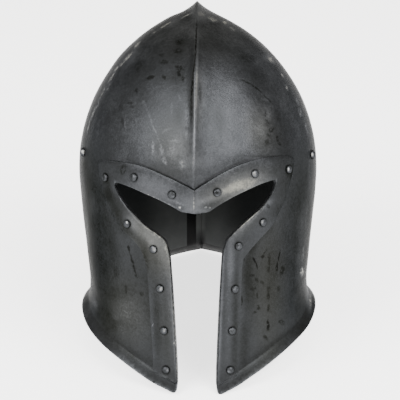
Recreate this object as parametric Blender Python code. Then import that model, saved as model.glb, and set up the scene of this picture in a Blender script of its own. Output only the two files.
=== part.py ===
"""Barbute: an open-faced steel helmet with a keeled skull, a Y-shaped face opening, a riveted
border plate and a turned-out lower edge, lying on its cheek points and its neck rim.

It is shaped as worn (X across, Y to the back, Z up from the cheek points) and then laid back.
Left and right are those of someone who looks at its face: right is +X. Metres throughout.
"""
import math

import bpy
import bmesh
from mathutils import Vector, geometry, kdtree

# Skull form
WIDEST_HEIGHT = 0.181
ARCH_RADIUS = 0.1500
ARCH_OFFSET = 0.0420
FRONT_REACH = 0.1270
REAR_REACH = 0.1310
TAPER_SLOPE = 0.103
TAPER_ONSET = 0.015
HALF_WIDTH = ARCH_RADIUS - ARCH_OFFSET
CROWN_REACH = 0.137
WALL_REACH = 0.116
KEEL_HEIGHT = 0.0042
KEEL_SPREAD = 0.0065

# Flare and turned lip above the lower edge
FLARE_REACH = [
    # angle from the front, outward reach at the lower edge
    (0, 0.0034),
    (50, 0.0048),
    (85, 0.0064),
    (115, 0.0082),
    (180, 0.0130),
]
FLARE_BAND = [
    # angle from the front, height of the flared band
    (0, 0.021),
    (50, 0.026),
    (85, 0.034),
    (115, 0.038),
    (180, 0.050),
]
LIP_DROP = 0.0080
LIP_ANGLE = math.radians(35)
LIP_BEND = 0.0020
TIP_RADIUS = 0.005
FOOT_RADIUS = 0.0015
BORDER_FOOT = LIP_DROP + 0.004

# Sheet thicknesses and the slack between the plates
SKULL_THICKNESS = 0.0016
BORDER_THICKNESS = 0.0012
PLATE_GAP = 0.0004
RIVET_GAP = 0.0003

# Rivets
HEAD_RADIUS = 0.0036
HEAD_HEIGHT = 0.0021
SHANK_RADIUS = 0.0015
HOLE_RADIUS = 0.0019
TAIL_RADIUS = 0.0031
TAIL_HEIGHT = 0.0010
RIVET_SIDES = 8

# Mesh spacing; the clearances and the outline's spacing are shares of a sheet's own spacing
SKULL_SPACING = 0.0130
BORDER_SPACING = 0.0085
CORNER_SPACING = 0.00375
OUTLINE_SHARE = 0.8
ROW_CLEARANCE = 0.25
FIELD_CLEARANCE = 0.62
FLARE_ROWS = (LIP_DROP, LIP_DROP + 0.0055, LIP_DROP + 0.013)
KEEL_ROWS = (0, -0.0045, 0.0045, -0.0105, 0.0105)
KEEL_FRONT_STEPS = (2.5, 1.5, 0.5)
SHEET_CREASE = math.radians(32)
RIVET_CREASE = math.radians(40)

# How far the helmet lies back from the way it is worn
REST_TILT = math.radians(18.3)
TIP_REACH = 0.108

# Stand-off of the lower edge from the surface that the helmet lies on, by angle from the front
LOWER_EDGE = [
    # angle, stand-off
    (0, -0.0085),
    (12, 0.0000),
    (20, 0.0042),
    (27, 0.0087),
    (40, 0.0142),
    (53, 0.0166),
    (69, 0.0174),
    (90, 0.0178),
    (120, 0.0098),
    (150, 0.0000),
    (180, 0.0000),
]

# Edge of the face opening, seen from the front; left_drop is how much lower the left twin sits
FACE_OPENING = [
    # x, height, left_drop, corner radius
    (0.0175, 0.0000, 0.0000, 0.000),
    (0.0222, 0.1200, 0.0000, 0.030),
    (0.0255, 0.1320, 0.0000, 0.010),
    (0.0570, 0.1565, -0.0005, 0.030),
    (0.0655, 0.1680, 0.0000, 0.020),
    (0.0700, 0.1800, 0.0025, 0.0035),
    (0.0560, 0.1770, 0.0022, 0.040),
    (0.0420, 0.1715, 0.0014, 0.040),
    (0.0105, 0.1562, 0.0000, 0.008),
    (0.0000, 0.1562, 0.0000, 0.000),
]

# Outer edge of the border plate, seen from the front
BORDER_EDGE = [
    # x, height, left_drop, corner radius
    (0.0000, 0.1765, 0.0000, 0.000),
    (0.0250, 0.1920, 0.0040, 0.040),
    (0.0460, 0.1995, 0.0038, 0.040),
    (0.0640, 0.2010, 0.0040, 0.040),
    (0.0840, 0.1985, 0.0040, 0.004),
    (0.0828, 0.1830, 0.0000, 0.040),
    (0.0785, 0.1610, 0.0000, 0.030),
    (0.0670, 0.1400, -0.0010, 0.030),
    (0.0470, 0.1230, 0.0000, 0.012),
    (0.0417, 0.1080, 0.0000, 0.020),
    (0.0400, 0.0800, 0.0000, 0.040),
    (0.0378, 0.0100, 0.0000, 0.000),
]

SLOT_SHIFT = 0.0008

# Rivets through the border plate, seen from the front
BORDER_RIVETS = [
    # name, x, height
    ("rivet_brow_left_1", -0.0184, 0.1718),
    ("rivet_brow_left_2", -0.0509, 0.1841),
    ("rivet_brow_left_3", -0.0768, 0.1812),
    ("rivet_brow_right_1", 0.0182, 0.1737),
    ("rivet_brow_right_2", 0.0496, 0.1871),
    ("rivet_brow_right_3", 0.0785, 0.1876),
    ("rivet_cheek_left_1", -0.0575, 0.1432),
    ("rivet_cheek_left_2", -0.0348, 0.1235),
    ("rivet_cheek_left_3", -0.0296, 0.0893),
    ("rivet_cheek_left_4", -0.0266, 0.0520),
    ("rivet_cheek_left_5", -0.0254, 0.0165),
    ("rivet_cheek_right_1", 0.0566, 0.1445),
    ("rivet_cheek_right_2", 0.0359, 0.1261),
    ("rivet_cheek_right_3", 0.0329, 0.0884),
    ("rivet_cheek_right_4", 0.0302, 0.0514),
    ("rivet_cheek_right_5", 0.0286, 0.0160),
]

# Rivets high on the sides of the skull
SIDE_RIVETS = [
    # name, angle from the front, height
    ("rivet_side_left", -69.5, 0.1985),
    ("rivet_side_right", 71, 0.1955),
]


def table_value(rows, key):
    """Value of a two-column table at key, on a smooth curve through its rows."""
    last = len(rows) - 1
    low = max(i for i in range(last) if rows[i][0] <= key or i == 0)
    slopes = []
    for i in (low, low + 1):
        before, after = rows[max(i - 1, 0)], rows[min(i + 1, last)]
        slopes.append((after[1] - before[1]) / (after[0] - before[0]))
    (x0, y0), (x1, y1) = rows[low], rows[low + 1]
    width = x1 - x0
    t = (key - x0) / width
    rise = y1 - y0
    a = slopes[0] * width - rise
    b = rise - slopes[1] * width
    return y0 + t * rise + t * (1 - t) * (a * (1 - t) + b * t)


def smooth_step(t):
    t = min(max(t, 0.0), 1.0)
    return t * t * (3 - 2 * t)


# Form of the skull


def shell_reach(direction):
    """Distance from the middle of the widest level to the skull, along a unit direction.

    Each half of the skull is part of an ellipsoid whose centre lies ARCH_OFFSET across the
    middle, so the two halves meet in a pointed arch along the keel.
    """
    offset_share = (ARCH_OFFSET / ARCH_RADIUS) ** 2
    reach = FRONT_REACH if direction.y < 0 else REAR_REACH
    length = reach / math.sqrt(1 - offset_share)
    a = (direction.x ** 2 + direction.z ** 2) / ARCH_RADIUS ** 2 + (direction.y / length) ** 2
    b = ARCH_OFFSET * abs(direction.x) / ARCH_RADIUS ** 2
    return (math.sqrt(b * b + a * (1 - offset_share)) - b) / a


def keel_rise(x):
    return KEEL_HEIGHT * math.exp(-abs(x) / KEEL_SPREAD)


def plain_wall_reach(angle, height):
    """Distance of the wall from the axis, before keel, flare and lip."""
    level = shell_reach(Vector((math.sin(angle), -math.cos(angle), 0)))
    drop = WIDEST_HEIGHT - height
    taper = TAPER_SLOPE * (math.hypot(drop, TAPER_ONSET) - TAPER_ONSET) / HALF_WIDTH
    return level * (1 - taper)


def flare_size(angle):
    """Reach and band height of the flare at an angle from the front."""
    turn = math.degrees(abs(angle))
    return table_value(FLARE_REACH, turn), table_value(FLARE_BAND, turn)


def lip_reach(above):
    """Outward reach of the turned lip at a distance above the lower edge."""
    turned = LIP_DROP - above
    return math.tan(LIP_ANGLE) * (turned + math.hypot(turned, LIP_BEND)) / 2


def edge_height(angle):
    """Height of the lower edge, as worn, at an angle from the front."""
    stand_off = table_value(LOWER_EDGE, math.degrees(abs(angle)))
    height = 0.04
    for _ in range(3):
        reach = plain_wall_reach(angle, height) + flare_size(angle)[0] + lip_reach(0)
        back = TIP_REACH - reach * math.cos(angle)
        height = back * math.tan(REST_TILT) + stand_off
    return height


def edge_slope(angle):
    """Cosine of the lower edge's own slope at an angle from the front."""
    step = 0.01
    rise = edge_height(angle + step) - edge_height(angle - step)
    run = 2 * step * plain_wall_reach(angle, edge_height(angle))
    return run / math.hypot(rise, run)


def build_edge_table():
    """Height and slope of the lower edge at every degree."""
    rows = []
    for degree in range(181):
        angle = math.radians(degree)
        rows.append((edge_height(angle), edge_slope(angle)))
    return rows


EDGE = build_edge_table()


def edge_at(angle):
    """Height and slope of the lower edge at an angle from the front, either way round."""
    degree = abs(math.degrees(math.remainder(angle, 2 * math.pi)))
    degree = min(degree, 179.999)
    low = int(degree)
    part = degree - low
    height = EDGE[low][0] * (1 - part) + EDGE[low + 1][0] * part
    slope = EDGE[low][1] * (1 - part) + EDGE[low + 1][1] * part
    return height, slope


def wall_point(angle, height):
    """Place on the wall below the widest level."""
    lowest, slope = edge_at(angle)
    above = (height - lowest) * slope
    flare, band = flare_size(angle)
    reach = plain_wall_reach(angle, height)
    reach += flare * (max(band - above, 0) / band) ** 2 + lip_reach(above)
    reach += keel_rise(reach * math.sin(angle))
    return Vector((reach * math.sin(angle), -reach * math.cos(angle), height))


def crown_point(angle, polar):
    """Place on the crown, at a polar angle from straight up."""
    direction = Vector((math.sin(polar) * math.sin(angle), -math.sin(polar) * math.cos(angle),
                        math.cos(polar)))
    reach = shell_reach(direction)
    reach += keel_rise(reach * direction.x)
    # the lip's long tail is carried on so that crown and wall join without a step
    lowest, slope = edge_at(angle)
    tail = lip_reach((WIDEST_HEIGHT - lowest) * slope)
    point = direction * reach
    point += Vector((math.sin(angle), -math.cos(angle), 0)) * tail * math.sin(polar)
    return point + Vector((0, 0, WIDEST_HEIGHT))


# The flat pattern: a disc round the crown, whose unit circle is the widest level


def skull_place(flat):
    """Place on the skull's outer face of a point of the flat pattern."""
    radius = math.hypot(flat[0], flat[1])
    angle = math.atan2(flat[0], -flat[1]) if radius > 1e-9 else 0.0
    if radius <= 1:
        return crown_point(angle, 2 * math.atan(radius))
    return wall_point(angle, WIDEST_HEIGHT - HALF_WIDTH * math.log(radius))


def side_normal(flat, step):
    """Outward direction, from three places on the skull a step apart."""
    here = skull_place(flat)
    across = skull_place((flat[0] + step, flat[1])) - here
    along = skull_place((flat[0], flat[1] + abs(step))) - here
    normal = across.cross(along) if step > 0 else along.cross(across)
    return normal.normalized()


def skull_normal(flat):
    """Outward direction, scaled so that an offset sheet keeps its distance over the keel."""
    radius = max(math.hypot(flat[0], flat[1]), 0.05)
    step = 0.002 * radius
    if abs(flat[0]) > step:
        return side_normal(flat, math.copysign(step, flat[0]))
    right = side_normal((0, flat[1]), step)
    left = side_normal((0, flat[1]), -step)
    middle = (left + right).normalized()
    return middle / middle.dot(right)


def flat_from_level(angle, height):
    """Pattern point at an angle from the front and a height, on the wall or the low crown."""
    if height <= WIDEST_HEIGHT:
        radius = math.exp((WIDEST_HEIGHT - height) / HALF_WIDTH)
    else:
        low, high = 0.0, math.pi / 2
        for _ in range(30):
            polar = (low + high) / 2
            if crown_point(angle, polar).z > height:
                low = polar
            else:
                high = polar
        radius = math.tan(low / 2)
    return Vector((radius * math.sin(angle), -radius * math.cos(angle)))


def flat_from_front(x, height):
    """Pattern point of a place seen from the front at x and height."""
    low, high = 0.0, math.pi / 2
    for _ in range(30):
        angle = (low + high) / 2
        if skull_place(flat_from_level(angle, height)).x < abs(x):
            low = angle
        else:
            high = angle
    return flat_from_level(math.copysign(low, x), height)


def pattern_scale(flat):
    """Metres on the skull for one unit of the pattern, there."""
    step = 0.001
    here = skull_place(flat)
    radius = math.hypot(flat[0], flat[1])
    outward = Vector(flat) * (1 + step / radius)
    return (skull_place(outward) - here).length / step


# Outlines in the flat pattern


def rounded(corners):
    """Points of a closed outline whose corners (place, radius in metres) are rounded off."""
    outline = []
    count = len(corners)
    for i, (corner, radius) in enumerate(corners):
        if radius == 0:
            outline.append(corner)
            continue
        before = corners[i - 1][0] - corner
        after = corners[(i + 1) % count][0] - corner
        half_turn = before.angle(after) / 2
        reach = radius / pattern_scale(corner) / math.tan(half_turn)
        reach = min(reach, before.length * 0.49, after.length * 0.49)
        start = corner + before.normalized() * reach
        end = corner + after.normalized() * reach
        steps = max(2, min(8, round(2 * reach * pattern_scale(corner) / CORNER_SPACING)))
        for k in range(steps + 1):
            t = k / steps
            outline.append(start * (1 - t) ** 2 + corner * (2 * t * (1 - t)) + end * t ** 2)
    return outline


def spaced(outline, spacing):
    """The outline with points added wherever two lie further apart than spacing."""
    result = []
    for start, end in zip(outline, outline[1:] + outline[:1]):
        gap = (skull_place(end) - skull_place(start)).length
        pieces = max(1, math.ceil(gap / spacing))
        result.extend(start.lerp(end, k / pieces) for k in range(pieces))
    return result


def face_rows(rows):
    """Right-hand corners from a table seen from the front, and their left-hand twins."""
    right, left = [], []
    for x, height, left_drop, radius in rows:
        shift = SLOT_SHIFT * smooth_step((WIDEST_HEIGHT - 0.02 - height) / 0.03)
        right.append((flat_from_front(x + shift, height), radius))
        if x > 0:
            left.append((flat_from_front(-x + shift, height - left_drop), radius))
    return right, left


def edge_flat(angle, above):
    """Pattern point a distance above the lower edge."""
    height, slope = edge_at(angle)
    return flat_from_level(angle, height + above / slope)


def foot_angle(x_foot, above):
    """Angle from the front at which a line above the lower edge has the given x."""
    low, high = 0.0, math.pi / 2
    for _ in range(30):
        angle = (low + high) / 2
        if skull_place(edge_flat(angle, above)).x < x_foot:
            low = angle
        else:
            high = angle
    return low


def skull_outline():
    """Outline of the skull's pattern: down the face opening, then round the lower edge."""
    right, left = face_rows(FACE_OPENING)
    foot_right = foot_angle(FACE_OPENING[0][0] + SLOT_SHIFT, 0)
    foot_left = foot_angle(FACE_OPENING[0][0] - SLOT_SHIFT, 0)
    tips = [(edge_flat(foot_right, 0), TIP_RADIUS), (edge_flat(-foot_left, 0), TIP_RADIUS)]
    steps = round(2 * math.pi * WALL_REACH / SKULL_SPACING)
    sweep = 2 * math.pi - foot_right - foot_left
    rim = [(edge_flat(-foot_left - sweep * k / steps, 0), 0) for k in range(1, steps)]
    return rounded(tips[:1] + right[1:] + left[:0:-1] + tips[1:] + rim)


def border_outline():
    """Outline of the border plate's pattern: the face opening inside, BORDER_EDGE outside."""
    inner_right, inner_left = face_rows(FACE_OPENING)
    outer_right, outer_left = face_rows(BORDER_EDGE)

    def foot(x, side):
        angle = side * foot_angle(x, BORDER_FOOT)
        return (edge_flat(angle, BORDER_FOOT), FOOT_RADIUS)

    corners = [foot(FACE_OPENING[0][0] + SLOT_SHIFT, 1)] + inner_right[1:]
    corners += inner_left[:0:-1] + [foot(FACE_OPENING[0][0] - SLOT_SHIFT, -1)]
    corners += [foot(BORDER_EDGE[-1][0] - SLOT_SHIFT, -1)] + outer_left[-2::-1]
    corners += outer_right[:-1] + [foot(BORDER_EDGE[-1][0] + SLOT_SHIFT, 1)]
    return rounded(corners)


def hole_outline(centre):
    radius = HOLE_RADIUS / pattern_scale(centre)
    outline = []
    for k in range(RIVET_SIDES):
        turn = 2 * math.pi * k / RIVET_SIDES
        outline.append(centre + Vector((math.cos(turn), math.sin(turn))) * radius)
    return outline


def seen_from_middle(x, y, z):
    """Pattern point that lies along (x, y, z) from the middle of the widest level."""
    flat = Vector((x, y))
    return flat.normalized() * math.tan(math.atan2(flat.length, z) / 2)


def keel_rows(spacing):
    """Lines that run from the brow over the crown to the neck, on and beside the keel."""
    rows = []
    steps = round(math.pi * CROWN_REACH / spacing)
    for x in KEEL_ROWS:
        row = []
        for k in KEEL_FRONT_STEPS:
            row.append(flat_from_level(math.atan2(x, FRONT_REACH), WIDEST_HEIGHT - k * spacing))
        for k in range(1, steps):
            turn = math.pi * k / steps
            along, up = -CROWN_REACH * math.cos(turn), CROWN_REACH * math.sin(turn)
            row.append(seen_from_middle(x, along, up))
        height = WIDEST_HEIGHT
        while height > edge_at(math.pi)[0]:
            row.append(flat_from_level(math.atan2(x, -REAR_REACH), height))
            height -= spacing
        rows.append(row)
    return rows


def flare_rows(spacing):
    """Lines that follow the lower edge at the lip's crease and up the flare."""
    rows = []
    steps = round(2 * math.pi * WALL_REACH / spacing)
    for above in FLARE_ROWS:
        rows.append([edge_flat(2 * math.pi * k / steps - math.pi, above) for k in range(1, steps)])
    return rows


def rings(spacing):
    """Evenly spread points over the whole pattern, in staggered rings."""
    row_height = spacing * math.sqrt(3) / 2
    radii = []
    for k in range(1, int(CROWN_REACH * math.pi / 2 / row_height)):
        radii.append(math.tan(k * row_height / CROWN_REACH / 2))
    drop = 0.0
    while drop < WIDEST_HEIGHT:
        radii.append(math.exp(drop / HALF_WIDTH))
        drop += row_height
    points = []
    for index, radius in enumerate(radii):
        girth = 2 * math.pi * WALL_REACH * (2 * radius / (1 + radius ** 2) if radius < 1 else 1)
        count = max(6, round(girth / spacing))
        for k in range(count):
            angle = 2 * math.pi * (k + 0.5 * (index % 2)) / count
            points.append(Vector((radius * math.sin(angle), -radius * math.cos(angle))))
    return points


# Sheets


def inside(point, outline):
    """Whether a pattern point lies within a closed outline."""
    hit = False
    x, y = point
    for i in range(len(outline)):
        x0, y0 = outline[i - 1]
        x1, y1 = outline[i]
        if (y0 > y) != (y1 > y) and x < x0 + (y - y0) / (y1 - y0) * (x1 - x0):
            hit = not hit
    return hit


def clear_of(taken, candidates, distance):
    """For each candidate, whether it keeps a distance from the points already taken."""
    tree = kdtree.KDTree(len(taken))
    for index, flat in enumerate(taken):
        tree.insert(skull_place(flat), index)
    tree.balance()
    return [tree.find(skull_place(flat))[2] > distance for flat in candidates]


def formed_sheet(name, outline, holes, rows, spacing, lift):
    """Sheet cut to an outline with holes, and raised over the skull's outer face by lift."""
    flats, edges = [], []
    for loop in [outline] + holes:
        start, count = len(flats), len(loop)
        edges.extend((start + k, start + (k + 1) % count) for k in range(count))
        flats.extend(loop)
    for row in rows:
        clear = clear_of(flats, row, spacing * ROW_CLEARANCE)
        previous = None
        for flat, is_clear in zip(row, clear):
            if is_clear and inside(flat, outline):
                flats.append(flat)
                if previous is not None:
                    edges.append((previous, len(flats) - 1))
                previous = len(flats) - 1
            else:
                previous = None
    field = [flat for flat in rings(spacing) if inside(flat, outline)]
    clear = clear_of(flats, field, spacing * FIELD_CLEARANCE)
    flats.extend(flat for flat, is_clear in zip(field, clear) if is_clear)

    verts, _, faces, _, _, _ = geometry.delaunay_2d_cdt(flats, edges, [], 0, 1e-7)
    kept = []
    for face in faces:
        a, b, c = (verts[i] for i in face)
        middle = (a + b + c) / 3
        if inside(middle, outline) and not any(inside(middle, hole) for hole in holes):
            turn = (b - a).cross(c - a)
            kept.append(tuple(face) if turn > 0 else tuple(reversed(face)))
    used = sorted({i for face in kept for i in face})
    number = {old: new for new, old in enumerate(used)}
    places = [skull_place(verts[i]) + skull_normal(verts[i]) * lift for i in used]
    mesh = bpy.data.meshes.new(name)
    mesh.from_pydata(places, [], [tuple(number[i] for i in face) for face in kept])
    return mesh


def add_part(name, mesh, material):
    mesh.materials.append(material)
    part = bpy.data.objects.new(name, mesh)
    bpy.context.scene.collection.objects.link(part)
    return part


def thicken(part, thickness, side):
    """Give a sheet its thickness: side -1 goes inwards, +1 outwards."""
    solid = part.modifiers.new("Thickness", 'SOLIDIFY')
    solid.thickness = thickness
    solid.offset = side
    solid.use_even_offset = True


def steel(name, colour, roughness):
    material = bpy.data.materials.new(name)
    material.use_nodes = True
    shader = material.node_tree.nodes["Principled BSDF"]
    shader.inputs["Base Color"].default_value = (*colour, 1)
    shader.inputs["Metallic"].default_value = 1.0
    shader.inputs["Roughness"].default_value = roughness
    return material


def smooth(mesh, limit):
    mesh.shade_smooth()
    mesh.set_sharp_from_angle(angle=limit)


# Rivets


def rivet_mesh(name, head_level):
    """Turned rivet about Z: domed head outside, shank through the holes, flat tail inside."""
    tail_level = -SKULL_THICKNESS - RIVET_GAP
    profile = [
        # radius, level
        (TAIL_RADIUS, tail_level - TAIL_HEIGHT),
        (TAIL_RADIUS, tail_level),
        (SHANK_RADIUS, tail_level),
        (SHANK_RADIUS, head_level),
        (HEAD_RADIUS, head_level),
        (HEAD_RADIUS * 0.90, head_level + HEAD_HEIGHT * 0.52),
        (HEAD_RADIUS * 0.56, head_level + HEAD_HEIGHT * 0.88),
    ]
    form = bmesh.new()
    loops = []
    for radius, level in profile:
        loop = []
        for k in range(RIVET_SIDES):
            turn = 2 * math.pi * k / RIVET_SIDES
            loop.append(form.verts.new((radius * math.cos(turn), radius * math.sin(turn), level)))
        loops.append(loop)
    for lower, upper in zip(loops, loops[1:]):
        for k in range(RIVET_SIDES):
            after = (k + 1) % RIVET_SIDES
            form.faces.new((lower[k], lower[after], upper[after], upper[k]))
    form.faces.new(reversed(loops[0]))
    top = form.verts.new((0, 0, head_level + HEAD_HEIGHT))
    for k in range(RIVET_SIDES):
        form.faces.new((loops[-1][k], loops[-1][(k + 1) % RIVET_SIDES], top))
    mesh = bpy.data.meshes.new(name)
    form.to_mesh(mesh)
    form.free()
    smooth(mesh, RIVET_CREASE)
    return mesh


def set_rivet(name, flat, mesh, material):
    """Stand a rivet on the skull's outer face, along the face's own normal."""
    part = add_part(name, mesh.copy(), material)
    part.data.name = name
    part.location = skull_place(flat)
    part.rotation_mode = 'QUATERNION'
    part.rotation_quaternion = skull_normal(flat).to_track_quat('Z', 'Y')
    return part


# The helmet


def build_helmet():
    blackened = steel("blackened steel", (0.115, 0.118, 0.120), 0.34)
    worn = steel("worn border steel", (0.165, 0.163, 0.150), 0.36)
    rivet_steel = steel("rivet steel", (0.200, 0.200, 0.195), 0.30)

    border_places = [flat_from_front(x, height) for _, x, height in BORDER_RIVETS]
    side_places = [flat_from_level(math.radians(turn), height) for _, turn, height in SIDE_RIVETS]
    border_holes = [hole_outline(flat) for flat in border_places]
    skull_holes = border_holes + [hole_outline(flat) for flat in side_places]

    skull_edge = spaced(skull_outline(), SKULL_SPACING * OUTLINE_SHARE)
    skull_rows = flare_rows(SKULL_SPACING) + keel_rows(SKULL_SPACING)
    skull_sheet = formed_sheet("skull", skull_edge, skull_holes, skull_rows, SKULL_SPACING, 0)
    skull = add_part("skull", skull_sheet, blackened)
    thicken(skull, SKULL_THICKNESS, -1)
    smooth(skull_sheet, SHEET_CREASE)

    border_edge = spaced(border_outline(), BORDER_SPACING * OUTLINE_SHARE)
    border_sheet = formed_sheet("face_border", border_edge, border_holes,
                                keel_rows(BORDER_SPACING), BORDER_SPACING, PLATE_GAP)
    border = add_part("face_border", border_sheet, worn)
    thicken(border, BORDER_THICKNESS, 1)
    smooth(border_sheet, SHEET_CREASE)

    parts = [skull, border]
    border_rivet = rivet_mesh("border rivet", PLATE_GAP + BORDER_THICKNESS + RIVET_GAP)
    side_rivet = rivet_mesh("side rivet", RIVET_GAP)
    for (name, _, _), flat in zip(BORDER_RIVETS, border_places):
        parts.append(set_rivet(name, flat, border_rivet, rivet_steel))
    for (name, _, _), flat in zip(SIDE_RIVETS, side_places):
        parts.append(set_rivet(name, flat, side_rivet, rivet_steel))
    return parts


def lay_down(parts):
    """Lay the helmet back on its cheek points and neck rim, centred over the origin."""
    rest = bpy.data.objects.new("helmet_at_rest", None)
    bpy.context.scene.collection.objects.link(rest)
    rest.rotation_euler = (-REST_TILT, 0, 0)
    for part in parts:
        part.parent = rest
    bpy.context.view_layer.update()
    depsgraph = bpy.context.evaluated_depsgraph_get()
    places = []
    for part in parts:
        form = part.evaluated_get(depsgraph)
        places.extend(form.matrix_world @ vert.co for vert in form.data.vertices)
    lows = [min(place[axis] for place in places) for axis in range(3)]
    highs = [max(place[axis] for place in places) for axis in range(3)]
    rest.location = (-(lows[0] + highs[0]) / 2, -(lows[1] + highs[1]) / 2, -lows[2])


for old in list(bpy.data.objects):
    bpy.data.objects.remove(old)

lay_down(build_helmet())
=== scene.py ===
"""Barbute in blackened steel: a keeled skull, a riveted face border and its rivets, lying on
its cheek points and neck rim on a pale floor.

It is shaped as worn (X across, Y to the back, Z up from the cheek points) and then laid back.
Left and right are those of someone who looks at its face: right is +X. Metres throughout.
"""

import math

import bpy
import numpy as np
from mathutils import Matrix, Vector, geometry, kdtree, noise


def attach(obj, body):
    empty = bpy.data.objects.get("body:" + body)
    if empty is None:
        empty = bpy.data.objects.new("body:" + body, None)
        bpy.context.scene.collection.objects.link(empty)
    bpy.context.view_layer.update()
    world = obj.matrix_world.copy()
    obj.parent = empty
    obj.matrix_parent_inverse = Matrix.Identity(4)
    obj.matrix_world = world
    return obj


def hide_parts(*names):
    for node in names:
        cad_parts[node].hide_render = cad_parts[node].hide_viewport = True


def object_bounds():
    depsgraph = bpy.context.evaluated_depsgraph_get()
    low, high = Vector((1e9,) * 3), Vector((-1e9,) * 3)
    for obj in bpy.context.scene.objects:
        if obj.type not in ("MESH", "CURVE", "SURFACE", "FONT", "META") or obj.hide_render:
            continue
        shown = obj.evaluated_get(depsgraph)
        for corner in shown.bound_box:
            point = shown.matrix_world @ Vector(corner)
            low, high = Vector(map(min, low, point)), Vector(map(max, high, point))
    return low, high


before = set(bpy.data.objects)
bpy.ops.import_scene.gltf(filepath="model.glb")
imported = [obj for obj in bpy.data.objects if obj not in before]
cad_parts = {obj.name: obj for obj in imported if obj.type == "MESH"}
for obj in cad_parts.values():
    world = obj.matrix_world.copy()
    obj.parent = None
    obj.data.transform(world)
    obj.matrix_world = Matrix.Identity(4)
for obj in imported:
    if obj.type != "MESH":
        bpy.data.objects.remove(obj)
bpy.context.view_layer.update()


# The skull
#
# One sheet of mild steel, raised into a keeled crown, drawn in at the waist and flared over the
# neck, with its lower edge turned out. The Y-shaped face opening is cut through it. It was
# blackened, worn back in places and waxed; where the light falls on it, its colour is paler with
# painted highlights.

WIDEST_HEIGHT = 0.181
ARCH_RADIUS = 0.1500
ARCH_OFFSET = 0.0420
FRONT_REACH = 0.1270
REAR_REACH = 0.1310
TAPER_SLOPE = 0.103
TAPER_ONSET = 0.015
HALF_WIDTH = ARCH_RADIUS - ARCH_OFFSET
CROWN_REACH = 0.137
WALL_REACH = 0.116
KEEL_HEIGHT = 0.0058
KEEL_SPREAD = 0.0065
KEEL_ROUND = 0.0007
KEEL_BAND = (0.005, 0.011)

FLARE_REACH = [
    # angle from the front, outward reach at the lower edge
    (0, 0.0034),
    (50, 0.0048),
    (85, 0.0064),
    (115, 0.0082),
    (180, 0.0130),
]
FLARE_BAND = [
    # angle from the front, height of the flared band
    (0, 0.021),
    (50, 0.026),
    (85, 0.034),
    (115, 0.038),
    (180, 0.050),
]
LIP_DROP = 0.0071
LIP_ANGLE = math.radians(35)
LIP_BEND = 0.0009
RIGHT_DIP = 0.0024
RIGHT_DIP_OUT = (60, 28)
LEFT_DIP = 0.0013
LEFT_DIP_IN = (12, 26)
LEFT_DIP_OUT = (72, 48)
TIP_RADIUS = 0.005
TIP_CLEARANCE = math.radians(6)
SKULL_THICKNESS = 0.0016
SKULL_SPACING = 0.0034
CORNER_SPACING = 0.0016
CORNER_SHARE = 0.49
CORNER_STEPS = (2, 8)
OUTLINE_SHARE = 0.8
ROW_CLEARANCE = 0.2
FIELD_CLEARANCE = 0.62
FLARE_ROWS = (LIP_DROP - 0.0011, LIP_DROP, LIP_DROP + 0.0011)
KEEL_ROWS = (0, -0.0008, 0.0008, -0.0024, 0.0024, -0.0050, 0.0050)
BROW_POINTS = 15
EDGE_ROUNDING = 0.0004
ROUNDED_ANGLE = math.radians(60)

# Unevenness of the sheet: depths, sizes across, and the places between which each comes and goes
BROAD_DENTS, BROAD_SIZE = 0.00022, 0.034
FINE_DENTS, FINE_SIZE = 0.00009, 0.013
FINE_SHIFT = Vector((7.3, 1.9, 4.1))
SWELL = 0.0011
SWELL_INNER, SWELL_OUTER, SWELL_UP = (-0.012, -0.026), (-0.090, -0.066), (0.255, 0.285)
PINCH = 0.0009
PINCH_MIDDLE, PINCH_WIDTH = -0.0052, 0.0024
PINCH_UP, PINCH_DOWN = (0.222, 0.234), (0.300, 0.280)

# How the helmet lies: leant back, then moved so that it is centred over the origin
REST_TILT = math.radians(18.3)
TIP_REACH = 0.108
REST = Matrix.Translation((0, -0.04442, -0.03183)) @ Matrix.Rotation(-REST_TILT, 4, 'X')

# Stand-off of the lower edge from the surface that the helmet lies on, by angle from the front
LOWER_EDGE = [
    # angle, stand-off
    (0, -0.0085),
    (12, 0.0000),
    (20, 0.0042),
    (27, 0.0087),
    (40, 0.0142),
    (53, 0.0166),
    (69, 0.0174),
    (90, 0.0178),
    (120, 0.0098),
    (150, 0.0000),
    (180, 0.0000),
]

# Edge of the face opening, seen from the front; left_out and left_drop are how much further out
# and lower the left twin sits
FACE_OPENING = [
    # x, height, left_out, left_drop, corner radius
    (0.0175, 0.0000, 0.0000, 0.0000, 0.000),
    (0.0222, 0.1200, 0.0000, 0.0000, 0.030),
    (0.0255, 0.1320, 0.0000, 0.0000, 0.010),
    (0.0420, 0.1467, 0.0000, 0.0041, 0.030),
    (0.0566, 0.1577, 0.0004, 0.0007, 0.030),
    (0.0646, 0.1684, 0.0009, 0.0004, 0.020),
    (0.0690, 0.1806, 0.0010, 0.0019, 0.0035),
    (0.0560, 0.1784, 0.0000, 0.0024, 0.040),
    (0.0420, 0.1734, 0.0000, 0.0021, 0.040),
    (0.0105, 0.1571, 0.0000, -0.0003, 0.008),
    (0.0000, 0.1571, 0.0000, 0.0000, 0.000),
]
SLOT_SHIFT = 0.0008
SLOT_SHIFT_BAND = (0.161, 0.131)


def table_value(rows, key):
    """Value of a two-column table at key, on a smooth curve through its rows."""
    last = len(rows) - 1
    low = max(i for i in range(last) if rows[i][0] <= key or i == 0)
    slopes = []
    for i in (low, low + 1):
        before, after = rows[max(i - 1, 0)], rows[min(i + 1, last)]
        slopes.append((after[1] - before[1]) / (after[0] - before[0]))
    (x0, y0), (x1, y1) = rows[low], rows[low + 1]
    width = x1 - x0
    t = (key - x0) / width
    rise = y1 - y0
    a = slopes[0] * width - rise
    b = rise - slopes[1] * width
    return y0 + t * rise + t * (1 - t) * (a * (1 - t) + b * t)


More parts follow.
